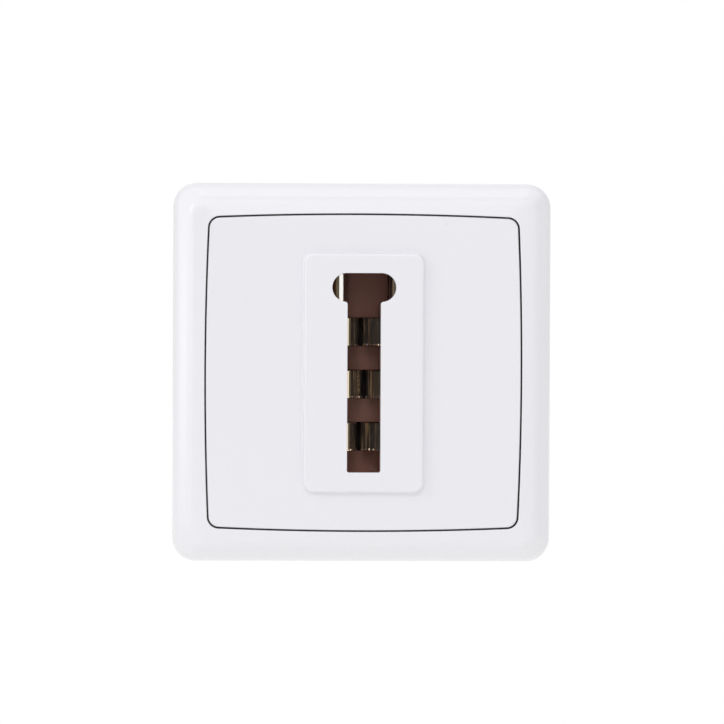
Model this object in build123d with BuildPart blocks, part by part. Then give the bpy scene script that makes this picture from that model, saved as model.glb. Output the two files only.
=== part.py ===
from build123d import *
import os
from math import atan, degrees, radians, tan

# Flush telephone socket with a T-shaped plug slot, in millimetres.
# The wall is the XZ plane. Seen from the room, +X runs right and +Z upwards, and -Y points into the room.
# Heights are distances in front of the wall, so a negative height lies inside the wall box.

# Centre plate
plate_size = 67.1
side_bow = 0.75
plate_corner_radius = 2.2
plate_crown_height = 8.55
plate_dome_radius = 1500.0
plate_thickness = 2.0
plate_skirt_thickness = 1.5
plate_edge_break = 0.3

# Raised pad round the slot
pad_width = 25.6
pad_length = 50.9
pad_rise = 1.3
pad_corner_radius = 2.1
pad_edge_rounding = 0.7
pad_wall = 1.7
pad_thickness = 2.0

# T-shaped plug slot
slot_length = 42.4
stem_width = 7.1
crossbar_width = 13.6
crossbar_height = 6.1
slot_throat_rounding = 0.6
slot_end_rounding = 0.4
slot_edge_break = 0.15
plug_depth = 12.0

# Outer frame
shadow_gap = 0.35
frame_band = 6.5
frame_corner_radius = 5.1
frame_rim_height = 8.2
frame_side_height = 3.2
frame_bevel_width = 3.4
frame_crease_drop = 0.6
frame_crease_rounding = 3.0
frame_shoulder_rounding = 4.9
frame_band_corner = 1.0
frame_wall = 1.8
frame_inner_corner = 3.4
ledge_height = 5.9
ledge_thickness = 1.5
ledge_width = 1.8
rim_wall = 1.5
rib_thickness = 1.0
rib_foot_height = 2.4
rib_spacing = 18.0
rib_count = 4

# Mounting bridge
bridge_thickness = 1.2
bridge_width = 73.0
bridge_height = 68.0
bridge_corner_cut = 12.0
bridge_lip_height = 2.2
bridge_bend_radius = 0.8
bridge_window_play = 0.2
box_screw_spacing = 60.0
box_slot_width = 4.2
box_slot_length = 8.0

# Snap legs of the centre plate
snap_x = 23.0
snap_z = 17.0
snap_width = 5.0
snap_thickness = 1.4
snap_barb = 0.8
snap_barb_height = 1.8
snap_play = 0.2

# Connector housing
housing_play = 0.2
well_play = 0.15
housing_lip = 1.2
housing_corner_radius = 1.0
rear_width = 33.0
rear_length = 52.0
rear_corner_radius = 3.0
rear_depth = 8.0
ear_span = 42.0
ear_height = 9.0
ear_thickness = 5.0

# Contact springs: the whole set stands a little to the right of the slot's centre line
strip_thickness = 0.4
strip_width = 6.0
strip_play = 0.1
strip_bend = 0.3
spring_offset = 0.9
row_pitch = 11.2
top_row_drop = 9.5
nose_height = 6.2
nose_rounding = 1.05
stem_leg_x = 5.6
stem_nose_x = 3.4
stem_gap = 0.45
stem_gap_positions = (-0.3, 0.5, -0.7)
crossbar_leg_x = 7.4
crossbar_nose_x = 5.0
crossbar_tips = (-2.9, 5.7)
crossbar_floor_edges = (-3.0, 5.7)
tip_height = 0.8
tip_rounding = 1.0
tail_reach = 1.8
tail_drop = 3.6

# Terminal block
block_thickness = 6.0
terminal_margin = 4.3
tab_overhang = 2.6
barrier_thickness = 1.2
barrier_height = 2.4
barrier_inner_x = 6.5
barrier_end_margin = 0.6

# Fasteners
terminal_screw_diameter = 3.0
terminal_head_diameter = 5.4
terminal_head_height = 2.0
terminal_screw_length = 6.6
nut_size = 5.5
nut_thickness = 1.8
nut_play = 0.15
nut_seat_thickness = 2.4
washer_size = 6.4
washer_thickness = 0.8
bridge_screw_diameter = 3.0
bridge_screw_head = 5.4
bridge_screw_head_height = 1.8
bridge_screw_length = 5.6
bridge_screw_spacing = 35.0
block_screw_diameter = 2.5
block_screw_head = 4.6
block_screw_head_height = 1.6
block_screw_length = 10.0
block_screw_spacing = 47.2
hole_play = 0.2
thread_play = 0.03
driver_slot_width = 0.8
driver_slot_depth = 0.9

# Half the band of heights within which the edges of one level are picked
edge_margin = 0.01

os.makedirs("parts", exist_ok=True)


def at(height):
    """Plane parallel to the wall at a height in front of it."""
    return Plane.XZ.offset(height)


def barrel(half_size, corner_radius):
    """Square outline whose four sides bow outwards, measured from its centre to mid-side."""
    corner = half_size - side_bow
    with BuildSketch() as outline:
        with BuildLine():
            ThreePointArc((corner, -corner), (half_size, 0), (corner, corner))
            ThreePointArc((corner, corner), (0, half_size), (-corner, corner))
            ThreePointArc((-corner, corner), (-half_size, 0), (-corner, -corner))
            ThreePointArc((-corner, -corner), (0, -half_size), (corner, -corner))
        make_face()
        fillet(outline.vertices(), corner_radius)
    return outline.sketch


def plug_outline(play):
    """T-shaped outline of the slot, widened all round by a play."""
    lobe_x = (crossbar_width - crossbar_height) / 2
    stem_length = crossbar_row - slot_bottom
    with BuildSketch() as outline:
        with Locations((-lobe_x, crossbar_row), (lobe_x, crossbar_row)):
            Circle(crossbar_height / 2 + play)
        with Locations((0, crossbar_row)):
            Rectangle(2 * lobe_x, crossbar_height / 2 + play, align=(Align.CENTER, Align.MIN))
            Rectangle(stem_width + 2 * play, stem_length + play, align=(Align.CENTER, Align.MAX))
        fillet(outline.vertices().group_by(Axis.Y)[1], slot_throat_rounding)
        fillet(outline.vertices().group_by(Axis.Y)[0], slot_end_rounding)
    return outline.sketch


def contact(side, leg_x, nose_x, tip_x, row):
    """Strip spring on one side of the slot: rear tab, upright leg, rounded nose and inward-bowed leg."""
    with BuildPart() as spring:
        with BuildSketch(Plane.XY.offset(row - strip_width / 2)):
            with BuildLine():
                FilletPolyline(
                    (side * (terminal_x + tab_overhang), -block_rear),
                    (leg_x, -block_rear),
                    (leg_x, -nose_height),
                    (nose_x, -nose_height),
                    (tip_x, -tip_height),
                    (tip_x + side * tail_reach, tail_drop - tip_height),
                    radius=(strip_bend, nose_rounding, nose_rounding, tip_rounding),
                )
                offset(amount=strip_thickness, side=Side.RIGHT if side > 0 else Side.LEFT)
            make_face()
        extrude(amount=strip_width)
        with BuildSketch(at(block_rear)):
            with Locations((side * terminal_x, row)):
                Circle(terminal_screw_diameter / 2 + hole_play)
        extrude(amount=-strip_thickness, mode=Mode.SUBTRACT)
    return spring.part


def headed_screws(points, seat, outward, head_diameter, head_height, diameter, length):
    """Slotted screws whose heads stand outward from a seat: +1 is towards the room, -1 towards the rear."""
    with BuildPart() as screws:
        with BuildSketch(at(seat)):
            with Locations(*points):
                Circle(head_diameter / 2)
        extrude(amount=outward * head_height)
        with BuildSketch(at(seat)):
            with Locations(*points):
                Circle(diameter / 2)
        extrude(amount=-outward * length)
        with BuildSketch(at(seat + outward * head_height)):
            with Locations(*points):
                Rectangle(head_diameter, driver_slot_width)
        extrude(amount=-outward * driver_slot_depth, mode=Mode.SUBTRACT)
    return screws.part


# Heights and positions that follow from the sizes above
plate_half = plate_size / 2
plate_underside = plate_crown_height - plate_thickness
opening_half = plate_half + shadow_gap
frame_size = 2 * (opening_half + frame_band)
frame_inner_size = frame_size - 2 * frame_wall
crease_height = frame_rim_height - frame_crease_drop
band_slope = frame_crease_drop / (frame_band - frame_bevel_width)
bevel_angle = degrees(atan(frame_bevel_width / (crease_height - frame_side_height)))
crown_base = frame_rim_height - 2 * frame_band * band_slope
crown_size = 2 * (opening_half + 2 * frame_band)
hollow_side = frame_side_height - frame_wall * tan(radians(bevel_angle) / 2)
hollow_ceiling = crease_height - frame_wall
ledge_underside = ledge_height - ledge_thickness
pad_height = plate_crown_height + pad_rise
pad_ceiling = pad_height - pad_thickness
pad_core_width = pad_width - 2 * pad_wall
pad_core_length = pad_length - 2 * pad_wall
slot_top = slot_length / 2
slot_bottom = -slot_length / 2
crossbar_row = slot_top - crossbar_height / 2
well_floor = pad_height - plug_depth
housing_front = pad_ceiling - housing_play
housing_width = pad_core_width - 2 * housing_play
housing_length = pad_core_length - 2 * housing_play
chamber_front = housing_front - housing_lip
chamber_height = strip_width + 2 * strip_play
block_rear = -rear_depth - block_thickness
terminal_x = rear_width / 2 - terminal_margin
stem_rows = [crossbar_row - top_row_drop - row_pitch * step for step in range(3)]
terminal_rows = [crossbar_row] + stem_rows
terminal_points = [(side * terminal_x, row) for side in (-1, 1) for row in terminal_rows]
barrier_rows = [crossbar_row + top_row_drop / 2, crossbar_row - top_row_drop / 2]
barrier_rows += [row - row_pitch / 2 for row in stem_rows]
barrier_length = rear_width / 2 - barrier_end_margin - barrier_inner_x
barrier_centre = barrier_inner_x + barrier_length / 2
screw_seat = block_rear - strip_thickness - washer_thickness
bridge_screw_points = [(-bridge_screw_spacing / 2, 0), (bridge_screw_spacing / 2, 0)]
block_screw_points = [(0, -block_screw_spacing / 2), (0, block_screw_spacing / 2)]
bridge_fold_height = bridge_thickness + bridge_lip_height
snap_window_x = snap_x - snap_barb / 2
snap_window_width = snap_thickness + snap_barb + 2 * snap_play

plate_outline = barrel(plate_half, plate_corner_radius)
skirt_outline = barrel(plate_half - plate_skirt_thickness, plate_corner_radius)
opening_outline = barrel(opening_half, plate_corner_radius + shadow_gap)
rim_outline = barrel(opening_half + rim_wall, plate_corner_radius + shadow_gap + rim_wall)
ledge_outline = barrel(opening_half - ledge_width, plate_corner_radius)
slot_outline = plug_outline(0)
well_outline = plug_outline(well_play)

# Shallow crown with four sloping sides, which gives the band round the opening its slope
with BuildPart() as frame_crown:
    with BuildSketch(at(0)):
        Rectangle(crown_size, crown_size)
    extrude(amount=crown_base)
    with BuildSketch(at(crown_base)):
        RectangleRounded(crown_size, crown_size, frame_band_corner + 2 * frame_band)
    extrude(amount=frame_rim_height - crown_base, taper=degrees(atan(1 / band_slope)))

# Hollow behind the frame: it follows the sides and the bevel and leaves the inner rim and the ribs standing
with BuildPart() as frame_hollow:
    with BuildSketch(at(0)):
        RectangleRounded(frame_inner_size, frame_inner_size, frame_inner_corner)
    extrude(amount=hollow_side)
    with BuildSketch(at(hollow_side)):
        RectangleRounded(frame_inner_size, frame_inner_size, frame_inner_corner)
    extrude(amount=hollow_ceiling - hollow_side, taper=bevel_angle)
    with BuildSketch(at(ledge_underside)):
        add(rim_outline)
    extrude(amount=hollow_ceiling - ledge_underside, mode=Mode.SUBTRACT)
    with BuildSketch(at(rib_foot_height)):
        with GridLocations(0, rib_spacing, 1, rib_count):
            Rectangle(frame_size, rib_thickness)
        with GridLocations(rib_spacing, 0, rib_count, 1):
            Rectangle(rib_thickness, frame_size)
        add(rim_outline, mode=Mode.SUBTRACT)
    extrude(amount=hollow_ceiling - rib_foot_height, mode=Mode.SUBTRACT)

# Outer frame: upright sides, a bevel and the sloping band, with a ledge that carries the centre plate
with BuildPart() as cover_frame:
    with BuildSketch(at(0)):
        RectangleRounded(frame_size, frame_size, frame_corner_radius)
    extrude(amount=frame_side_height)
    with BuildSketch(at(frame_side_height)):
        RectangleRounded(frame_size, frame_size, frame_corner_radius)
    extrude(amount=frame_rim_height - frame_side_height, taper=bevel_angle)
    add(frame_crown.part, mode=Mode.INTERSECT)
    crease = cover_frame.edges().filter_by_position(
        Axis.Y, -crease_height - frame_crease_drop / 4, -crease_height + frame_crease_drop
    )
    fillet(crease, frame_crease_rounding)
    shoulder = cover_frame.edges().filter_by_position(
        Axis.Y, -frame_side_height - edge_margin, -frame_side_height + edge_margin
    )
    fillet(shoulder, frame_shoulder_rounding)
    add(frame_hollow.part, mode=Mode.SUBTRACT)
    with BuildSketch(at(0)):
        add(ledge_outline)
    extrude(amount=frame_rim_height, mode=Mode.SUBTRACT)
    with BuildSketch(at(ledge_height)):
        add(opening_outline)
    extrude(amount=frame_rim_height - ledge_height, mode=Mode.SUBTRACT)
cover_frame.part.label = "cover_frame"
export_step(cover_frame.part, "parts/cover_frame.step")

# Centre plate: shallow dome with the raised pad, a skirt that stands on the ledge and four snap legs
with BuildPart() as centre_plate:
    with BuildSketch(at(ledge_height)):
        add(plate_outline)
    extrude(amount=pad_height - ledge_height)
    with Locations((0, plate_dome_radius - plate_crown_height, 0)):
        Sphere(plate_dome_radius, mode=Mode.INTERSECT)
    chamfer(centre_plate.faces().sort_by(Axis.Y)[0].edges(), plate_edge_break)
    with BuildSketch(at(plate_underside)):
        RectangleRounded(pad_width, pad_length, pad_corner_radius)
    extrude(amount=pad_height - plate_underside)
    fillet(centre_plate.faces().sort_by(Axis.Y)[0].edges(), pad_edge_rounding)
    with BuildSketch(at(ledge_height)):
        add(skirt_outline)
    extrude(amount=plate_underside - ledge_height, mode=Mode.SUBTRACT)
    with BuildSketch(at(plate_underside)):
        RectangleRounded(pad_core_width, pad_core_length, housing_corner_radius)
    extrude(amount=pad_ceiling - plate_underside, mode=Mode.SUBTRACT)
    with BuildSketch(at(pad_ceiling)):
        add(slot_outline)
    extrude(amount=pad_thickness, mode=Mode.SUBTRACT)
    chamfer(centre_plate.faces().sort_by(Axis.Y)[0].inner_wires()[0].edges(), slot_edge_break)
    for snap_end in (-snap_z, snap_z):
        with BuildSketch(Plane.XY.offset(snap_end - snap_width / 2)):
            for snap_side in (-1, 1):
                with BuildLine():
                    Polyline(
                        (snap_side * (snap_x - snap_thickness / 2), -plate_underside),
                        (snap_side * (snap_x + snap_thickness / 2), -plate_underside),
                        (snap_side * (snap_x + snap_thickness / 2), snap_play),
                        (snap_side * (snap_x + snap_thickness / 2 + snap_barb), snap_play),
                        (snap_side * (snap_x + snap_thickness / 2), snap_play + snap_barb_height),
                        (snap_side * (snap_x - snap_thickness / 2), snap_play + snap_barb_height),
                        close=True,
                    )
                make_face()
        extrude(amount=snap_width)
centre_plate.part.label = "centre_plate"
export_step(centre_plate.part, "parts/centre_plate.step")

# Mounting bridge: sheet steel on the wall, with slots for the box screws and folded upper and lower edges
with BuildPart() as mounting_bridge:
    with BuildSketch(Plane.YZ):
        with BuildLine():
            FilletPolyline(
                (-bridge_fold_height, bridge_height / 2),
                (0, bridge_height / 2),
                (0, -bridge_height / 2),
                (-bridge_fold_height, -bridge_height / 2),
                radius=bridge_bend_radius + bridge_thickness,
            )
            offset(amount=bridge_thickness, side=Side.RIGHT)
        make_face()
    extrude(amount=bridge_width / 2, both=True)
    with BuildSketch(at(0)) as bridge_outline:
        Rectangle(bridge_width, bridge_height)
        chamfer(bridge_outline.vertices(), bridge_corner_cut)
        with Locations((-box_screw_spacing / 2, 0), (box_screw_spacing / 2, 0)):
            SlotOverall(box_slot_length, box_slot_width, mode=Mode.SUBTRACT)
        with Locations(*bridge_screw_points):
            Circle(bridge_screw_diameter / 2 + hole_play, mode=Mode.SUBTRACT)
        RectangleRounded(
            housing_width + 2 * bridge_window_play,
            housing_length + 2 * bridge_window_play,
            housing_corner_radius + bridge_window_play,
            mode=Mode.SUBTRACT,
        )
        with GridLocations(2 * snap_window_x, 2 * snap_z, 2, 2):
            Rectangle(snap_window_width, snap_width + 2 * snap_play, mode=Mode.SUBTRACT)
    extrude(amount=bridge_fold_height, mode=Mode.INTERSECT)
mounting_bridge.part.label = "mounting_bridge"
export_step(mounting_bridge.part, "parts/mounting_bridge.step")

# Connector housing: the T-shaped well, the contact chambers and the ears that carry it under the bridge
with BuildPart() as connector_housing:
    with BuildSketch(at(0)):
        RectangleRounded(housing_width, housing_length, housing_corner_radius)
    extrude(amount=housing_front)
    with BuildSketch(at(0)):
        RectangleRounded(rear_width, rear_length, rear_corner_radius)
    extrude(amount=-rear_depth)
    with BuildSketch(at(0)):
        SlotOverall(ear_span, ear_height)
    extrude(amount=-ear_thickness)
    with BuildSketch(at(well_floor)):
        add(well_outline)
    extrude(amount=housing_front - well_floor, mode=Mode.SUBTRACT)
    with BuildSketch(at(-rear_depth)):
        for stem_row in stem_rows:
            with Locations((spring_offset, stem_row)):
                Rectangle(2 * (stem_leg_x + strip_play), chamber_height)
        for chamber_side, floor_edge in zip((-1, 1), crossbar_floor_edges):
            with Locations((floor_edge, crossbar_row)):
                Rectangle(
                    crossbar_leg_x + strip_play - chamber_side * (floor_edge - spring_offset),
                    chamber_height,
                    align=(Align.MIN if chamber_side > 0 else Align.MAX, Align.CENTER),
                )
    extrude(amount=chamber_front + rear_depth, mode=Mode.SUBTRACT)
    with BuildSketch(at(0)):
        with Locations(*bridge_screw_points):
            Circle(bridge_screw_diameter / 2 + thread_play)
    extrude(amount=-ear_thickness, mode=Mode.SUBTRACT)
    with BuildSketch(at(-rear_depth)):
        with Locations(*block_screw_points):
            Circle(block_screw_diameter / 2 + thread_play)
    extrude(amount=block_screw_length - block_thickness + hole_play, mode=Mode.SUBTRACT)
connector_housing.part.label = "connector_housing"
export_step(connector_housing.part, "parts/connector_housing.step")

# Terminal block: closes the chambers from behind, with slots for the contact legs and pockets for the nuts
with BuildPart() as terminal_block:
    with BuildSketch(at(-rear_depth)):
        RectangleRounded(rear_width, rear_length, rear_corner_radius)
    extrude(amount=-block_thickness)
    with BuildSketch(at(block_rear)):
        with Locations(*[(side * barrier_centre, row) for side in (-1, 1) for row in barrier_rows]):
            Rectangle(barrier_length, barrier_thickness)
    extrude(amount=-barrier_height)
    with BuildSketch(at(block_rear)):
        for leg_side in (-1, 1):
            for leg_row in terminal_rows:
                leg_face = crossbar_leg_x if leg_row == crossbar_row else stem_leg_x
                with Locations((spring_offset + leg_side * (leg_face + strip_bend), leg_row)):
                    Rectangle(
                        strip_bend + strip_thickness + strip_play,
                        chamber_height,
                        align=(Align.MAX if leg_side > 0 else Align.MIN, Align.CENTER),
                    )
    extrude(amount=block_thickness, mode=Mode.SUBTRACT)
    with BuildSketch(at(-rear_depth)):
        with Locations(*terminal_points):
            Rectangle(nut_size + 2 * nut_play, nut_size + 2 * nut_play)
    extrude(amount=nut_seat_thickness - block_thickness, mode=Mode.SUBTRACT)
    with BuildSketch(at(block_rear)):
        with Locations(*terminal_points):
            Circle(terminal_screw_diameter / 2 + hole_play)
        with Locations(*block_screw_points):
            Circle(block_screw_diameter / 2 + hole_play)
    extrude(amount=block_thickness, mode=Mode.SUBTRACT)
terminal_block.part.label = "terminal_block"
export_step(terminal_block.part, "parts/terminal_block.step")

# Contact springs, numbered down the left side and then down the right side
contact_number = 0
for side, crossbar_tip in zip((-1, 1), crossbar_tips):
    for row_index, row in enumerate(terminal_rows):
        contact_number += 1
        if row_index == 0:
            leg_x = spring_offset + side * crossbar_leg_x
            nose_x = spring_offset + side * crossbar_nose_x
            tip_x = crossbar_tip
        else:
            leg_x = spring_offset + side * stem_leg_x
            nose_x = spring_offset + side * stem_nose_x
            tip_x = stem_gap_positions[row_index - 1] + side * stem_gap / 2
        spring = contact(side, leg_x, nose_x, tip_x, row)
        spring.label = f"contact_{contact_number}"
        export_step(spring, f"parts/contact_{contact_number}.step")

# Wire clamping: screws, square clamping plates and square nuts
terminal_screws = headed_screws(
    terminal_points,
    screw_seat,
    -1,
    terminal_head_diameter,
    terminal_head_height,
    terminal_screw_diameter,
    terminal_screw_length,
)
terminal_screws.label = "terminal_screws"
export_step(terminal_screws, "parts/terminal_screws.step")

with BuildPart() as clamp_washers:
    with BuildSketch(at(screw_seat)):
        with Locations(*terminal_points):
            Rectangle(washer_size, washer_size)
            Circle(terminal_screw_diameter / 2 + hole_play, mode=Mode.SUBTRACT)
    extrude(amount=washer_thickness)
clamp_washers.part.label = "clamp_washers"
export_step(clamp_washers.part, "parts/clamp_washers.step")

with BuildPart() as terminal_nuts:
    with BuildSketch(at(block_rear + nut_seat_thickness)):
        with Locations(*terminal_points):
            Rectangle(nut_size, nut_size)
            Circle(terminal_screw_diameter / 2 + thread_play, mode=Mode.SUBTRACT)
    extrude(amount=nut_thickness)
terminal_nuts.part.label = "terminal_nuts"
export_step(terminal_nuts.part, "parts/terminal_nuts.step")

# Screws that hold the bridge to the housing, and the terminal block to the housing
bridge_screws = headed_screws(
    bridge_screw_points,
    bridge_thickness,
    1,
    bridge_screw_head,
    bridge_screw_head_height,
    bridge_screw_diameter,
    bridge_screw_length,
)
bridge_screws.label = "bridge_screws"
export_step(bridge_screws, "parts/bridge_screws.step")

block_screws = headed_screws(
    block_screw_points,
    block_rear,
    -1,
    block_screw_head,
    block_screw_head_height,
    block_screw_diameter,
    block_screw_length,
)
block_screws.label = "block_screws"
export_step(block_screws, "parts/block_screws.step")
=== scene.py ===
"""Flush wall telephone socket with a T-shaped plug slot: meshes, finishes, light and camera.

Sizes are millimetres, except in the studio, and become metres where a mesh is made.
The wall is the XZ plane, and a height is a distance in front of it, towards -Y.
"""

from __future__ import annotations

import logging
import math
from dataclasses import dataclass
from enum import Enum
from typing import Sequence

import bmesh
import bpy
from mathutils import Matrix, Vector


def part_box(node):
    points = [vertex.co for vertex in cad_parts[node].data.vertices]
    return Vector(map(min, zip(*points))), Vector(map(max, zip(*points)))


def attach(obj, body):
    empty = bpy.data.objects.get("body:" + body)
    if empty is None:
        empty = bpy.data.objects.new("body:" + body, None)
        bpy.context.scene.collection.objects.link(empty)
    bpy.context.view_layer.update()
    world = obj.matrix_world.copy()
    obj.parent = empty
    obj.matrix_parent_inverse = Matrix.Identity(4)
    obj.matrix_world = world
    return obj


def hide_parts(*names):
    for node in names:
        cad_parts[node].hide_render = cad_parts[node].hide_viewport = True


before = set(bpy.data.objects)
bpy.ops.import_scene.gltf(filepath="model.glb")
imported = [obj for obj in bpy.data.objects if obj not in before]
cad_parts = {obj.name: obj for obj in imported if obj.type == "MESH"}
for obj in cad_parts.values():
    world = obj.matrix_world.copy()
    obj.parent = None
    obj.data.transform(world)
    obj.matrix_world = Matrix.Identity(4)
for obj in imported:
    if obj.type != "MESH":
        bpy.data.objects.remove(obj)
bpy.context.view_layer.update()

MM = 0.001
BODY = "root"
SIDE_STEPS = 26
CORNER_STEPS = 10
ARC_STEPS = 8
LEAST_ARC_STEPS = 4
BEVEL_STEPS = 2
FRAME_SIDES = 4
RIGHT_ANGLE = math.pi / 2
ARC_STEP_ANGLE = math.radians(7.0)
FLAT_ANGLE = math.radians(0.4)
BEVEL_ANGLE = math.radians(32.0)
SHARP_ANGLE = math.radians(48.0)
MERGE_DISTANCE = 0.000002

Flat = tuple[float, float]
Triple = tuple[float, float, float]
Ring = list[bmesh.types.BMVert]

WHITE_LIGHT: Triple = (1.0, 1.0, 1.0)
CLOUD_LIMITS: Flat = (0.3, 0.7)

log = logging.getLogger("telephone_socket")


class Facing(Enum):
    """The way a fastener's head points."""

    ROOM = 1
    REAR = -1


class Side(Enum):
    """Side of the plug slot, seen from the room."""

    LEFT = -1
    RIGHT = 1


class Slot(Enum):
    """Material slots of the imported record."""

    WHITE = "white_plastic"
    BROWN = "brown_plastic"
    STEEL = "steel"
    BRASS = "brass"


class Term:
    """An output socket that takes part in Python expressions."""

    def __init__(self, writer: NodeWriter, socket: bpy.types.NodeSocket) -> None:
        """Keeps the socket and the writer that adds nodes beside it."""
        self.writer = writer
        self.socket = socket

    def _join(self, operation: str, *operands: object) -> Term:
        """Adds the Math node of one operator, on Terms and numbers."""
        sockets = dict(enumerate(operands))
        return self.writer.node("ShaderNodeMath", {"operation": operation}, sockets)["Value"]

    def __add__(self, other: object) -> Term:
        """Sum."""
        return self._join("ADD", self, other)

    def __radd__(self, other: object) -> Term:
        """Sum with the number first."""
        return self._join("ADD", other, self)

    def __sub__(self, other: object) -> Term:
        """Difference."""
        return self._join("SUBTRACT", self, other)

    def __rsub__(self, other: object) -> Term:
        """Difference with the number first."""
        return self._join("SUBTRACT", other, self)

    def __mul__(self, other: object) -> Term:
        """Product."""
        return self._join("MULTIPLY", self, other)

    def __rmul__(self, other: object) -> Term:
        """Product with the number first."""
        return self._join("MULTIPLY", other, self)

    def __truediv__(self, other: object) -> Term:
        """Quotient."""
        return self._join("DIVIDE", self, other)

    def __rtruediv__(self, other: object) -> Term:
        """Quotient with the number first."""
        return self._join("DIVIDE", other, self)

    def __lt__(self, other: object) -> Term:
        """1 where this value is the smaller, else 0."""
        return self._join("LESS_THAN", self, other)

    def __gt__(self, other: object) -> Term:
        """1 where this value is the larger, else 0."""
        return self._join("GREATER_THAN", self, other)

    def __abs__(self) -> Term:
        """The value without its sign."""
        return self._join("ABSOLUTE", self)

    def wrapped(self, length: float) -> Term:
        """Distance past the last whole multiple of a length."""
        return self._join("WRAP", self, length, 0.0)

    def at_least(self, other: object) -> Term:
        """The larger of two values."""
        return self._join("MAXIMUM", self, other)


class Placed:
    """A node in a tree, whose outputs are read by name."""

    def __init__(self, writer: NodeWriter, node: bpy.types.Node) -> None:
        """Keeps the node and its writer."""
        self.writer = writer
        self.node = node

    def __getitem__(self, key: str) -> Term:
        """The output of that name or identifier."""
        return Term(self.writer, find_socket(self.node.outputs, key))


def find_socket(sockets: Sequence[bpy.types.NodeSocket], key: str | int) -> bpy.types.NodeSocket:
    """Looks a socket up.

    Args:
        sockets: a node's inputs or outputs.
        key: place in the row, identifier, or name of a socket in use.

    Returns:
        The socket.
    """
    if isinstance(key, int):
        return sockets[key]
    exact = [socket for socket in sockets if socket.identifier == key and socket.enabled]
    named = [socket for socket in sockets if socket.name == key and socket.enabled]
    return (exact + named)[0]


class NodeWriter:
    """Adds nodes to a shader or geometry tree."""

    def __init__(self, tree: bpy.types.NodeTree) -> None:
        """Keeps the tree that is written to."""
        self.tree = tree

    def node(self, kind: str, settings: dict | None = None, sockets: dict | None = None) -> Placed:
        """Adds one node.

        Args:
            kind: the node's type.
            settings: its properties, set first.
            sockets: values, links or lists of links of its inputs.

        Returns:
            The node.
        """
        node = self.tree.nodes.new(kind)
        for name, value in (settings or {}).items():
            setattr(node, name, value)
        for key, value in (sockets or {}).items():
            self._put(find_socket(node.inputs, key), value)
        return Placed(self, node)

    def _put(self, socket: bpy.types.NodeSocket, value: object) -> None:
        """Links or sets one input, spreading a number over a vector and completing a colour.

        Args:
            socket: the input.
            value: a Term, a list of Terms, a number or a tuple.
        """
        if isinstance(value, Term):
            self.tree.links.new(value.socket, socket)
        elif isinstance(value, list):
            for part in value:
                self.tree.links.new(part.socket, socket)
        elif socket.type in ("VECTOR", "ROTATION") and isinstance(value, (int, float)):
            socket.default_value = (value, value, value)
        elif socket.type == "RGBA" and len(value) == 3:
            socket.default_value = (*value, 1.0)
        else:
            socket.default_value = value

    def place(self) -> Term:
        """Object coordinates, in metres."""
        return self.node("ShaderNodeTexCoord")["Object"]

    def axes(self) -> tuple[Term, Term, Term]:
        """Distance to the right, height in front of the wall and distance up, in millimetres."""
        parts = self.node("ShaderNodeSeparateXYZ", sockets={"Vector": self.place()})
        return parts["X"] / MM, parts["Y"] / -MM, parts["Z"] / MM

    def blend(self, factor: object, first: object, second: object) -> Term:
        """Colour that goes from the first to the second as the factor goes from 0 to 1."""
        sockets = {"Factor_Float": factor, "A_Color": first, "B_Color": second}
        return self.node("ShaderNodeMix", {"data_type": "RGBA"}, sockets)["Result_Color"]

    def rise(self, value: object, limits: Flat, ends: Flat = (0.0, 1.0)) -> Term:
        """Goes smoothly from one end to the other between two limits of a value."""
        sockets = {"Value": value, 1: limits[0], 2: limits[1], 3: ends[0], 4: ends[1]}
        return self.node("ShaderNodeMapRange", {"interpolation_type": "SMOOTHSTEP"}, sockets)["Result"]

    def fall(self, value: object, limits: Flat) -> Term:
        """Goes smoothly from 1 to 0 between two limits of a value."""
        return self.rise(value, limits, (1.0, 0.0))


def blank_writer(owner: bpy.types.Material | bpy.types.World) -> NodeWriter:
    """A writer for the emptied node tree of a material or a world.

    Args:
        owner: the material or the world.

    Returns:
        The writer of its tree.
    """
    owner.use_nodes = True
    owner.node_tree.nodes.clear()
    return NodeWriter(owner.node_tree)


@dataclass(frozen=True)
class Finish:
    """A surface finish made as one material, which names one of the record's material slots."""

    name: str
    slot: Slot

    def sockets(self, writer: NodeWriter) -> dict[str, object]:
        """Inputs of the finish's shader, which each kind of finish writes."""
        raise NotImplementedError

    @property
    def material(self) -> bpy.types.Material:
        """The material of this finish, made when it is first asked for.

        Returns:
            The material.
        """
        material = bpy.data.materials.get(self.name)
        if material is None:
            material = bpy.data.materials.new(self.name)
            writer = blank_writer(material)
            shader = writer.node("ShaderNodeBsdfPrincipled", sockets=self.sockets(writer))
            writer.node("ShaderNodeOutputMaterial", sockets={"Surface": shader["BSDF"]})
        return material

    def clouds(
        self, writer: NodeWriter, size: float, detail: float = 2.0, stretch: Triple = (1.0, 1.0, 1.0)
    ) -> Term:
        """Soft noise in object coordinates.

        Args:
            writer: the material's node writer.
            size: rough width of a patch in millimetres.
            detail: layers of finer noise.
            stretch: how much longer the patches are along each axis.

        Returns:
            Noise around 0.5.
        """
        scale = tuple(1.0 / length for length in stretch)
        drawn = writer.node("ShaderNodeMapping", sockets={"Vector": writer.place(), "Scale": scale})
        sockets = {"Vector": drawn["Vector"], "Scale": 1.0 / (size * MM), "Detail": detail}
        return writer.node("ShaderNodeTexNoise", sockets=sockets)["Fac"]

    def bumped(self, writer: NodeWriter, height: Term, depth: float, strength: float) -> Term:
        """Normal of a surface that rises by a depth in millimetres where the height is 1."""
        sockets = {"Height": height, "Distance": depth * MM, "Strength": strength}
        return writer.node("ShaderNodeBump", sockets=sockets)["Normal"]


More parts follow.
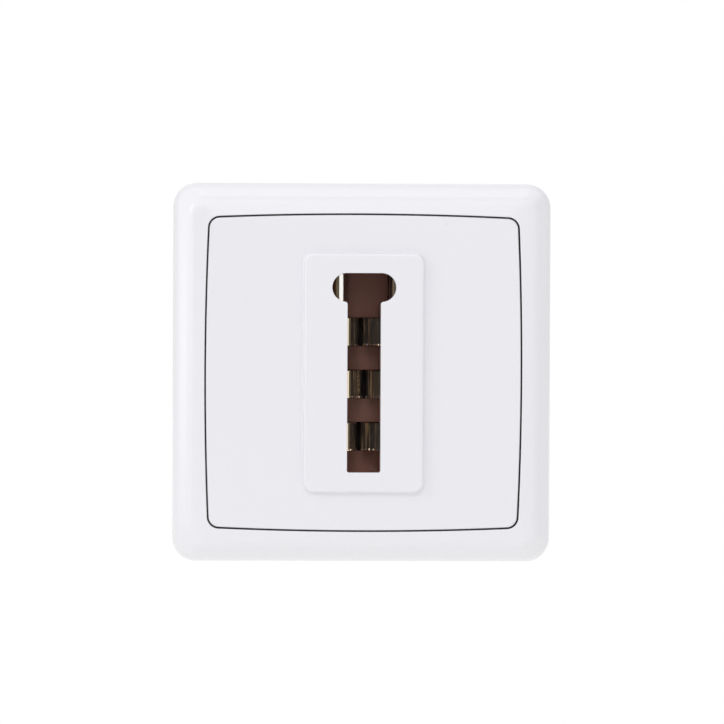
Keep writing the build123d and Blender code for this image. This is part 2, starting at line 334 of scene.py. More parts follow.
@dataclass(frozen=True)
class WhiteMoulding(Finish):
    """Glossy white plastic with a faint peel, a few specks of dust, and painted shade deep in the plate's
    gap.
    """

    name: str = "white_moulding"
    slot: Slot = Slot.WHITE
    colour: Triple = (0.835, 0.828, 0.853)
    shade_colour: Triple = (0.828, 0.821, 0.846)
    speck_colour: Triple = (0.62, 0.60, 0.57)
    # painted shade: near-black colour that stands in for the shadow deep in the gap round the plate
    gap_shade_colour: Triple = (0.05, 0.047, 0.043)
    roughness: Flat = (0.13, 0.19)
    speck_roughness: float = 0.3
    cloud_size: float = 0.5
    peel_size: float = 1.6
    peel_depth: float = 0.002
    peel_strength: float = 0.2
    speck_spacing: float = 8.0
    speck_radius: float = 0.13
    gap_reach: Flat = (32.1, 34.3)
    gap_floor: float = 5.8
    gap_heights: Flat = (7.45, 7.65)

    def sockets(self, writer: NodeWriter) -> dict[str, object]:
        """Faintly mottled plastic, specked with dust, with the peel of a polished mould and painted shade
        in the gap.

        Args:
            writer: the material's node writer.

        Returns:
            The shader's inputs by name.
        """
        cloud = self.clouds(writer, self.cloud_size)
        peel = self.clouds(writer, self.peel_size, detail=1.0)
        spots = {"Vector": writer.place(), "Scale": 1.0 / (self.speck_spacing * MM)}
        distance = writer.node("ShaderNodeTexVoronoi", sockets=spots)["Distance"]
        speck = distance < self.speck_radius / self.speck_spacing
        tint = writer.blend(cloud, self.colour, self.shade_colour)
        specked = writer.blend(speck, tint, self.speck_colour)
        sheen = writer.rise(cloud, CLOUD_LIMITS, self.roughness)
        return {
            # painted shade: the gap round the plate is darkened in the base colour
            "Base Color": writer.blend(self.gap_shade(writer), specked, self.gap_shade_colour),
            "Roughness": sheen + self.speck_roughness * speck,
            "Normal": self.bumped(writer, peel, self.peel_depth, self.peel_strength),
        }

    def gap_shade(self, writer: NodeWriter) -> Term:
        """Painted shade: 1 deep in the gap between the plate and the frame, else 0.

        Args:
            writer: the material's node writer.

        Returns:
            The share of painted shade.
        """
        x, height, z = writer.axes()
        across = abs(x).at_least(abs(z))
        near, far = self.gap_reach
        within = (across > near) * (across < far) * (height > self.gap_floor)
        return within * writer.fall(height, self.gap_heights)


@dataclass(frozen=True)
class BrownMoulding(Finish):
    """Matt brown plastic with a fine eroded texture, with painted light paler down the well and painted
    shade dark in the chambers.
    """

    name: str = "brown_moulding"
    slot: Slot = Slot.BROWN
    colour: Triple = (0.217, 0.097, 0.070)
    shade_colour: Triple = (0.196, 0.087, 0.063)
    # painted light: paler colour for the lower end of the well, as if lit from above
    well_light_colour: Triple = (0.350, 0.177, 0.132)
    # painted shade: near-black colour for the shadow deep in the chambers
    chamber_shade_colour: Triple = (0.040, 0.026, 0.021)
    roughness: Flat = (0.52, 0.66)
    shine: float = 0.3
    well_half_width: float = 7.2
    well_half_length: float = 24.0
    well_bottom: float = -2.5
    chamber_bottom: float = -8.2
    well_light_ends: Flat = (-23.0, 23.0)
    cloud_size: float = 9.0
    grain_size: float = 0.22
    grain_depth: float = 0.02
    grain_strength: float = 0.25

    def sockets(self, writer: NodeWriter) -> dict[str, object]:
        """Mottled plastic with an even grain, painted light that grows paler down the well, and painted
        shade in the chambers.

        Args:
            writer: the material's node writer.

        Returns:
            The shader's inputs by name.
        """
        cloud = self.clouds(writer, self.cloud_size, detail=3.0)
        grain = self.clouds(writer, self.grain_size)
        x, height, z = writer.axes()
        within = (abs(x) < self.well_half_width) * (abs(z) < self.well_half_length)
        well = within * (height > self.well_bottom)
        chamber = within * (height > self.chamber_bottom) - well
        plain = writer.blend(cloud, self.colour, self.shade_colour)
        # painted shade: the chambers behind the contacts are darkened in the base colour
        plain = writer.blend(chamber, plain, self.chamber_shade_colour)
        # painted light: the well is painted paler towards its lower end and darker under its head, where
        # light from above reaches less
        dust = well * writer.fall(z, self.well_light_ends)
        return {
            "Base Color": writer.blend(dust, plain, self.well_light_colour),
            "Roughness": writer.rise(grain, CLOUD_LIMITS, self.roughness),
            "Specular IOR Level": self.shine,
            "Normal": self.bumped(writer, grain, self.grain_depth, self.grain_strength),
        }


@dataclass(frozen=True)
class SpringMetal(Finish):
    """Streaky tarnished spring bronze with bare edges; its noses, bare on the left side only, are partly
    plug wear and partly painted highlight, with painted highlight streaks on the slopes and painted shade
    on the shoulders.
    """

    name: str = "spring_metal"
    slot: Slot = Slot.BRASS
    nose_colour: Triple = (0.90, 0.76, 0.57)
    # painted highlight: the crossbar's noses are near white, lighter than the stems' noses
    crossbar_nose_colour: Triple = (0.98, 0.95, 0.90)
    streak_colour: Triple = (0.95, 0.74, 0.53)
    tarnish_colour: Triple = (0.232, 0.214, 0.197)
    untouched_colour: Triple = (0.37, 0.28, 0.17)
    # painted shade: dark colour for the shoulders below the noses and for the band just beyond the plug's
    # reach
    shoulder_shade_colour: Triple = (0.110, 0.085, 0.057)
    roughness: Flat = (0.36, 0.16)
    wear_heights: Flat = (6.186, 6.198)
    shoulder_heights: Flat = (4.9, 5.9)
    crossbar_foot: float = 14.5
    crossbar_wear: float = 0.85
    middle_x: float = 0.9
    wear_reach: Flat = (6.03, 6.09)
    # where the painted shade band gives way to the lighter untouched colour
    shade_band_end: Flat = (6.35, 6.65)
    # painted highlight: a band of golden streaks on the slopes of the right-hand stem springs
    highlight_heights: Flat = (2.5, 3.1)
    highlight_fade: float = 0.7
    highlight_side: float = 0.3
    highlight_gain: float = 0.13
    # painted highlight: golden glints on the left spring of the middle stem row
    glint_row: float = -2.5
    glint_reach: float = 4.0
    glint_size: float = 0.5
    glint_limits: Flat = (0.42, 0.52)
    streak_size: float = 0.7
    streak_stretch: float = 16.0
    streak_depth: float = 0.003
    streak_strength: float = 0.3
    streak_limits: Flat = (0.55, 0.67)
    fleck_size: float = 0.8
    fleck_limits: Flat = (0.47, 0.60)
    lower_edge: float = 5.65
    edge_pitch: float = 11.2
    edge_height: Flat = (0.35, 0.5)
    edge_slope: Flat = (0.05, 0.2)

    def sockets(self, writer: NodeWriter) -> dict[str, object]:
        """Metal with tarnish streaks along Z, bare on its cut edges and on the left noses where the plug
        rubs it (wear and painted highlight), with painted highlights and painted shade.

        Args:
            writer: the material's node writer.

        Returns:
            The shader's inputs by name.
        """
        x, height, z = writer.axes()
        left = x < 0.0
        crossbar = z > self.crossbar_foot
        across = abs(x - self.middle_x)
        reached = writer.fall(across, self.wear_reach)
        beyond = writer.rise(across, self.shade_band_end)
        # wear and painted highlight: noses are bare on the left side only, where they catch the light
        nose_wear_and_highlight = left * writer.rise(height + crossbar * self.crossbar_wear, self.wear_heights)
        # painted shade: the shoulders below the noses are darkened
        shoulder = (1.0 - crossbar * left) * writer.rise(height, self.shoulder_heights)
        flecks = writer.rise(self.clouds(writer, self.fleck_size), self.fleck_limits)
        wear_and_highlight = (reached * nose_wear_and_highlight).at_least(flecks * self.cut_edges(writer, z, crossbar))
        # painted highlight: golden streaks are strengthened in a band on the right-hand stem springs
        low, high = self.highlight_heights
        band = writer.rise(height, (low - self.highlight_fade, low))
        band = band * writer.fall(height, (high, high + self.highlight_fade))
        right_streak_highlight = band * (1.0 - crossbar) * (x > self.highlight_side)
        grain = self.clouds(writer, self.streak_size, detail=3.0, stretch=(1.0, 1.0, self.streak_stretch))
        streak = writer.rise(grain + right_streak_highlight * self.highlight_gain, self.streak_limits)
        # painted highlight: golden glints on the left spring near the middle stem row
        glint_noise = writer.rise(self.clouds(writer, self.glint_size), self.glint_limits)
        glint_patch = glint_noise * band * left * (abs(z - self.glint_row) < self.glint_reach)
        dull = writer.blend(streak.at_least(glint_patch), self.tarnish_colour, self.streak_colour)
        # painted shade: the shoulders and a band just beyond the plug's reach are darkened
        dull = writer.blend(shoulder.at_least(1.0 - reached), dull, self.shoulder_shade_colour)
        dull = writer.blend(beyond, dull, self.untouched_colour)
        # painted highlight: the crossbar's noses take the near-white colour
        nose = writer.blend(crossbar, self.nose_colour, self.crossbar_nose_colour)
        return {
            "Base Color": writer.blend(wear_and_highlight, dull, nose),
            "Metallic": 1.0,
            "Roughness": writer.rise(wear_and_highlight, (0.0, 1.0), self.roughness),
            "Normal": self.bumped(writer, grain, self.streak_depth, self.streak_strength),
        }

    def cut_edges(self, writer: NodeWriter, z: Term, crossbar: Term) -> Term:
        """Finds the edges of the strips.

        Args:
            writer: the material's node writer.
            z: distance up, in millimetres.
            crossbar: 1 in the crossbar's row, else 0.

        Returns:
            1 on faces that look up or down and at the foot of the stem rows, else 0.
        """
        above = (z - (self.lower_edge - self.edge_pitch)).wrapped(self.edge_pitch)
        foot = (1.0 - crossbar) * writer.fall(above, self.edge_height)
        normal = writer.node("ShaderNodeNewGeometry")["True Normal"]
        slope = writer.node("ShaderNodeSeparateXYZ", sockets={"Vector": normal})["Z"]
        return foot.at_least(writer.rise(slope * slope, self.edge_slope))


@dataclass(frozen=True)
class ZincPlate(Finish):
    """Zinc-plated steel with a pale passivated bloom and fine scratches."""

    name: str = "zinc_plate"
    slot: Slot = Slot.STEEL
    colour: Triple = (0.66, 0.66, 0.64)
    bloom_colour: Triple = (0.58, 0.60, 0.62)
    roughness: Flat = (0.28, 0.46)
    scratch_roughness: float = 0.1
    bloom_size: float = 5.0
    scratch_size: float = 0.3
    scratch_stretch: float = 20.0
    scratch_depth: float = 0.003
    scratch_strength: float = 0.3

    def sockets(self, writer: NodeWriter) -> dict[str, object]:
        """Metal with a cloudy bloom and scratches along X.

        Args:
            writer: the material's node writer.

        Returns:
            The shader's inputs by name.
        """
        stretch = (self.scratch_stretch, 1.0, 1.0)
        scratch = self.clouds(writer, self.scratch_size, detail=3.0, stretch=stretch)
        bloom = self.clouds(writer, self.bloom_size, detail=4.0)
        sheen = writer.rise(bloom, CLOUD_LIMITS, self.roughness)
        return {
            "Base Color": writer.blend(bloom, self.colour, self.bloom_colour),
            "Metallic": 1.0,
            "Roughness": sheen + self.scratch_roughness * scratch,
            "Normal": self.bumped(writer, scratch, self.scratch_depth, self.scratch_strength),
        }


class GeometryTree(NodeWriter):
    """A geometry node tree with named inputs, which ends in realised and painted geometry."""

    def __init__(self, name: str) -> None:
        """Makes the tree with its geometry input, and no nodes between the ends.

        Args:
            name: the tree's name.
        """
        super().__init__(bpy.data.node_groups.new(name, "GeometryNodeTree"))
        self.keys: dict[str, str] = {}
        self.enter = self.tree.nodes.new("NodeGroupInput")
        self.host = self.entry("Geometry", "NodeSocketGeometry")

    def entry(self, name: str, kind: str = "NodeSocketFloat") -> Term:
        """Adds a named input and gives its socket.

        Args:
            name: the input's name.
            kind: the type of its socket.

        Returns:
            The socket inside the tree.
        """
        item = self.tree.interface.new_socket(name, in_out="INPUT", socket_type=kind)
        self.keys[name] = item.identifier
        return Term(self, find_socket(self.enter.outputs, item.identifier))

    def sizes(self, *names: str) -> list[Term]:
        """Adds several named lengths and gives their sockets."""
        return [self.entry(name) for name in names]

    def finish(self, geometry: Term) -> None:
        """Realises the geometry, paints it and sends it out.

        Args:
            geometry: what the tree has made.
        """
        paint = self.entry("Material", "NodeSocketMaterial")
        self.tree.interface.new_socket("Geometry", in_out="OUTPUT", socket_type="NodeSocketGeometry")
        sockets = {"Geometry": self.realised(geometry), "Material": paint}
        painted = self.node("GeometryNodeSetMaterial", sockets=sockets)["Geometry"]
        self.node("NodeGroupOutput", sockets={"Geometry": painted})

    def realised(self, geometry: Term) -> Term:
        """Instances as plain geometry."""
        return self.node("GeometryNodeRealizeInstances", sockets={"Geometry": geometry})["Geometry"]

    def moved(self, geometry: Term, shift: object = 0.0, turn: object = 0.0) -> Term:
        """Geometry that is turned and then shifted."""
        sockets = {"Geometry": geometry, "Translation": shift, "Rotation": turn}
        return self.node("GeometryNodeTransform", sockets=sockets)["Geometry"]

    def joined(self, *parts: Term) -> Term:
        """Several geometries as one."""
        return self.node("GeometryNodeJoinGeometry", sockets={"Geometry": list(parts)})["Geometry"]

    def welded(self, *parts: Term) -> Term:
        """Several meshes as one, with the points that meet made one."""
        sockets = {"Geometry": self.joined(*parts), "Distance": MERGE_DISTANCE}
        return self.node("GeometryNodeMergeByDistance", sockets=sockets)["Geometry"]

    def vector(self, x: object = 0.0, y: object = 0.0, z: object = 0.0) -> Term:
        """Vector of three values."""
        return self.node("ShaderNodeCombineXYZ", sockets={"X": x, "Y": y, "Z": z})["Vector"]

    def cylinder(self, sides: int, radius: Term, depth: Term) -> Term:
        """Cylinder along Z, round the origin."""
        sockets = {"Vertices": sides, "Radius": radius, "Depth": depth}
        return self.node("GeometryNodeMeshCylinder", sockets=sockets)["Mesh"]

    def filleted(self, curve: Term, steps: int, radius: Term) -> Term:
        """Curve whose corners are rounded in straight steps."""
        sockets = {"Curve": curve, "Count": steps, "Radius": radius}
        return self.node("GeometryNodeFilletCurve", {"mode": "POLY"}, sockets)["Curve"]

    def swept(self, path: Term, section: Term) -> Term:
        """Closed mesh of a section carried along a path."""
        sockets = {"Curve": path, "Profile Curve": section, "Fill Caps": True}
        return self.node("GeometryNodeCurveToMesh", sockets=sockets)["Mesh"]

    def cut(self, body: Term, tool: Term) -> Term:
        """A body with a tool taken out of it."""
        sockets = {"Mesh 1": body, "Mesh 2": tool}
        return self.node("GeometryNodeMeshBoolean", {"operation": "DIFFERENCE"}, sockets)["Mesh"]

    def chance(self, limits: Flat, seed: Term) -> Term:
        """A random number for each point."""
        sockets = {"Min": limits[0], "Max": limits[1], "Seed": seed}
        return self.node("FunctionNodeRandomValue", {"data_type": "FLOAT"}, sockets)["Value"]

    def spread(self, points: Term, copy: Term, **others: object) -> Term:
        """A copy on each point, with the node's other inputs by name."""
        sockets = {"Points": points, "Instance": copy, **others}
        return self.node("GeometryNodeInstanceOnPoints", sockets=sockets)["Instances"]

    def run(self, piece: bpy.types.Object, finish: Finish, **entries: object) -> bpy.types.Object:
        """Runs the tree on a piece.

        Args:
            piece: object whose own geometry goes in.
            finish: the finish that paints the result.
            entries: the other named inputs, with _ for a space.

        Returns:
            A mesh object in the piece's place, with no modifier left.
        """
        modifier = piece.modifiers.new(self.tree.name, "NODES")
        modifier.node_group = self.tree
        modifier[self.keys["Material"]] = finish.material
        for name, value in entries.items():
            modifier[self.keys[name.replace("_", " ").title()]] = value
        return settled(piece)


def at(x: float, height: float, z: float) -> Triple:
    """Place in metres of a point that lies so far right, in front of the wall and up."""
    return (x * MM, -height * MM, z * MM)


def new_piece(name: str, data: bpy.types.ID) -> bpy.types.Object:
    """Makes an object of mesh, curve, lamp or camera data in the scene.

    Args:
        name: the object's name.
        data: what it shows.

    Returns:
        The object.
    """
    piece = bpy.data.objects.new(name, data)
    bpy.context.scene.collection.objects.link(piece)
    return piece


def line_piece(name: str, places: Sequence[Triple], closed: bool = False) -> bpy.types.Object:
    """Makes a curve object of straight runs from place to place.

    Args:
        name: the object's name.
        places: its points, in metres.
        closed: whether the last point runs back to the first.

    Returns:
        The curve object.
    """
    curve = bpy.data.curves.new(name, "CURVE")
    curve.dimensions = "3D"
    spline = curve.splines.new("POLY")
    spline.points.add(len(places) - 1)
    for point, place in zip(spline.points, places):
        point.co = (*place, 1.0)
    spline.use_cyclic_u = closed
    return new_piece(name, curve)


def point_piece(name: str, points: Sequence[Flat], height: float) -> bpy.types.Object:
    """Makes a mesh object of loose points at one height, given as x and z.

    Args:
        name: the object's name.
        points: the points.
        height: their height.

    Returns:
        The mesh object.
    """
    mesh = bpy.data.meshes.new(name)
    mesh.from_pydata([at(x, height, z) for x, z in points], [], [])
    return new_piece(name, mesh)


def settled(piece: bpy.types.Object) -> bpy.types.Object:
    """Turns an object with modifiers into a plain mesh object of the same name.

    Args:
        piece: the object, which is removed.

    Returns:
        The mesh object.
    """
    bpy.context.view_layer.update()
    depsgraph = bpy.context.evaluated_depsgraph_get()
    mesh = bpy.data.meshes.new_from_object(piece.evaluated_get(depsgraph), depsgraph=depsgraph)
    name = piece.name
    bpy.data.objects.remove(piece)
    mesh.name = name
    return new_piece(name, mesh)


def rounded_off(piece: bpy.types.Object, width: float = 0.0) -> bpy.types.Object:
    """Breaks a piece's sharp edges and evens its shading.

    Args:
        piece: mesh object.
        width: width of the rounded edges in millimetres, or 0 for none.

    Returns:
        The finished mesh object.
    """
    piece.data.shade_smooth()
    if width > 0.0:
        bevel = piece.modifiers.new("edges", "BEVEL")
        bevel.width = width * MM
        bevel.segments = BEVEL_STEPS
        bevel.limit_method = "ANGLE"
        bevel.angle_limit = BEVEL_ANGLE
        bevel.use_clamp_overlap = True
        bevel.miter_outer = "MITER_ARC"
        piece = settled(piece)
    piece.data.set_sharp_from_angle(angle=SHARP_ANGLE)
    even = piece.modifiers.new("even shading", "WEIGHTED_NORMAL")
    even.keep_sharp = True
    return settled(piece)


def solid_copy(node: str) -> bpy.types.Object:
    """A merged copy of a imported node's mesh, as a new object with flat faces in one piece.

    Args:
        node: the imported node's name.

    Returns:
        The mesh object.
    """
    shape = bmesh.new()
    shape.from_mesh(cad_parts[node].data)
    bmesh.ops.remove_doubles(shape, verts=shape.verts, dist=MERGE_DISTANCE)
    bmesh.ops.dissolve_limit(
        shape,
        angle_limit=FLAT_ANGLE,
        verts=shape.verts,
        edges=shape.edges,
        use_dissolve_boundaries=False,
    )
    mesh = bpy.data.meshes.new(f"{node}_dressed")
    shape.to_mesh(mesh)
    shape.free()
    return new_piece(f"{node}_dressed", mesh)


def merged(first: bpy.types.Object, *others: bpy.types.Object) -> bpy.types.Object:
    """Puts the meshes of several objects into the first and removes the rest.

    Args:
        first: the object that is kept.
        others: the objects that join it.

    Returns:
        The first object.
    """
    shape = bmesh.new()
    shape.from_mesh(first.data)
    for other in others:
        shape.from_mesh(other.data)
        bpy.data.objects.remove(other)
    shape.to_mesh(first.data)
    shape.free()
    return first


def outward(piece: bpy.types.Object) -> bpy.types.Object:
    """Turns a piece's faces outwards.

    Args:
        piece: mesh object of closed shells.

    Returns:
        The same object.
    """
    shape = bmesh.new()
    shape.from_mesh(piece.data)
    bmesh.ops.recalc_face_normals(shape, faces=shape.faces)
    shape.to_mesh(piece.data)
    shape.free()
    return piece


def install(piece: bpy.types.Object, finish: Finish, *nodes: str) -> None:
    """Paints a piece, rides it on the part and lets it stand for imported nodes.

    Args:
        piece: finished mesh object.
        finish: the finish that paints it.
        nodes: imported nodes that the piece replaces.
    """
    piece.data.materials.clear()
    piece.data.materials.append(finish.material)
    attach(piece, BODY)
    if nodes:
        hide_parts(*nodes)
    stands_for = ", ".join(nodes) or "no node"
    log.info("%s: %d faces, for %s", piece.name, len(piece.data.polygons), stands_for)


def quarter_turn(steps: int) -> list[Flat]:
    """Cosines and sines of a quarter turn in even steps."""
    angles = [RIGHT_ANGLE * step / steps for step in range(steps + 1)]
    return [(math.cos(angle), math.sin(angle)) for angle in angles]


def arc(centre: Flat, radius: float, start: float, end: float) -> list[Flat]:
    """Points of an arc, with more of them on a longer turn.

    Args:
        centre: middle of the arc.
        radius: its radius.
        start: angle of its first point, in radians.
        end: angle of its last point, in radians.

    Returns:
        The points from start to end.
    """
    steps = max(LEAST_ARC_STEPS, round(abs(end - start) / ARC_STEP_ANGLE))
    angles = [start + (end - start) * step / steps for step in range(steps + 1)]
    return [(centre[0] + radius * math.cos(a), centre[1] + radius * math.sin(a)) for a in angles]


@dataclass(frozen=True)
class Outline:
    """Rectangle with bowed sides and rounded corners, seen from the room."""

    half_x: float
    half_z: float
    radius: float
    bow: float = 0.0

    def points(self) -> list[Flat]:
        """Points once round, anticlockwise from the middle of the right side.

        Returns:
            The points, as x and z.
        """
        radius = self.radius
        if self.bow > 0.0:
            chord = self.half_x - self.bow
            side_radius = (chord**2 + self.bow**2) / (2 * self.bow)
            offset = side_radius - self.half_x
            reach = side_radius - radius
            centre = (math.sqrt(2 * reach**2 - offset**2) - offset) / 2
            corner = (centre, centre)
            lean = math.atan2(centre, centre + offset)
            steps = [lean * step / SIDE_STEPS for step in range(SIDE_STEPS)]
            right = [(side_radius * math.cos(a) - offset, side_radius * math.sin(a)) for a in steps]
            top = [(z, x) for x, z in reversed(right)]
        else:
            corner = (self.half_x - radius, self.half_z - radius)
            lean = 0.0
            shares = [step / SIDE_STEPS for step in range(SIDE_STEPS + 1)]
            right = [(self.half_x, corner[1] * share) for share in shares[:-1]]
            top = [(corner[0] * (1 - share), self.half_z) for share in shares[1:]]
        turn = RIGHT_ANGLE - 2 * lean
        angles = [lean + turn * step / CORNER_STEPS for step in range(CORNER_STEPS + 1)]
        bend = [(corner[0] + radius * math.cos(a), corner[1] + radius * math.sin(a)) for a in angles]
        quarter = right + bend + top
        upper = quarter + [(-x, z) for x, z in reversed(quarter[:-1])]
        return upper + [(-x, -z) for x, z in upper[1:-1]]


@dataclass(frozen=True)
class Bend:
    """Corner of a section: its place in the section and the radius that rounds it."""

    along: float
    height: float
    radius: float = 0.0


def rounded_section(bends: Sequence[Bend]) -> list[Flat]:
    """Rounds the corners of an open section.

    Args:
        bends: the section's corners in order.

    Returns:
        Points of the section, with an arc at each rounded corner.
    """
    points: list[Flat] = []
    for place, bend in enumerate(bends):
        here = Vector((bend.along, bend.height))
        if bend.radius == 0.0:
            points.append((here.x, here.y))
            continue
        before = Vector((bends[place - 1].along, bends[place - 1].height)) - here
        after = Vector((bends[place + 1].along, bends[place + 1].height)) - here
        before.normalize()
        after.normalize()
        half = before.angle(after) / 2
        middle = here + (before + after).normalized() * (bend.radius / math.sin(half))
        start = here + before * (bend.radius / math.tan(half)) - middle
        sweep = start.angle_signed(here + after * (bend.radius / math.tan(half)) - middle)
        for step in range(ARC_STEPS + 1):
            arm = start.copy()
            arm.rotate(Matrix.Rotation(-sweep * step / ARC_STEPS, 2))
            points.append((middle.x + arm.x, middle.y + arm.y))
    return points


def shifted_line(points: Sequence[Flat], amount: float) -> list[Flat]:
    """Moves an open line of straight runs sideways.

    Args:
        points: corners of the line, as x and height.
        amount: distance to the left of the way it runs, seen with height upwards.

    Returns:
        Corners of the moved line.
    """
    places = [Vector(point) for point in points]
    ways = [(end - start).normalized() for start, end in zip(places, places[1:])]
    normals = [Vector((-way.y, way.x)) for way in ways]
    moved = [places[0] + normals[0] * amount]
    for place, before, after in zip(places[1:], normals, normals[1:]):
        middle = (before + after).normalized()
        moved.append(place + middle * (amount / middle.dot(before)))
    moved.append(places[-1] + normals[-1] * amount)
    return [(place.x, place.y) for place in moved]


class Shell:
    """A closed mesh that is lofted ring by ring."""

    def __init__(self) -> None:
        """Starts with no faces."""
        self.shape = bmesh.new()

    def ring(self, points: Sequence[Flat], height: float) -> Ring:
        """Adds a closed ring of points at a height."""
        return [self.shape.verts.new(at(x, height, z)) for x, z in points]

    def loft(self, rings: Sequence[Ring]) -> None:
        """Joins each ring to the next with a band of faces.

        Args:
            rings: rings with as many points each.
        """
        for inner, outer in zip(rings, rings[1:]):
            count = len(inner)
            for place in range(count):
                after = (place + 1) % count
                self.shape.faces.new((inner[place], inner[after], outer[after], outer[place]))

    def fill(self, *rings: Ring) -> None:
        """Fills the flat area between an outer ring and the rings inside it.

        Args:
            rings: the outer ring and then the inner ones, all at one height.
        """
        edges = []
        for ring in rings:
            for place, vert in enumerate(ring):
                pair = (vert, ring[(place + 1) % len(ring)])
                edges.append(self.shape.edges.get(pair) or self.shape.edges.new(pair))
        bmesh.ops.triangle_fill(self.shape, use_beauty=True, edges=edges)

    def prism(self, section: Sequence[Flat], low: float, high: float) -> None:
        """Adds a closed prism along Z, with its section given as x and height.

        Args:
            section: corners of the section.
            low: where it starts along Z.
            high: where it ends.
        """
        lower = [self.shape.verts.new(at(x, height, low)) for x, height in section]
        upper = [self.shape.verts.new(at(x, height, high)) for x, height in section]
        self.loft([lower, upper])
        self.shape.faces.new(lower)
        self.shape.faces.new(upper)

    def piece(self, name: str) -> bpy.types.Object:
        """Ends the shell and makes an object of it, with its faces outwards.

        Args:
            name: the object's name.

        Returns:
            The mesh object.
        """
        bmesh.ops.recalc_face_normals(self.shape, faces=self.shape.faces)
        mesh = bpy.data.meshes.new(name)
        self.shape.to_mesh(mesh)
        self.shape.free()
        return new_piece(name, mesh)


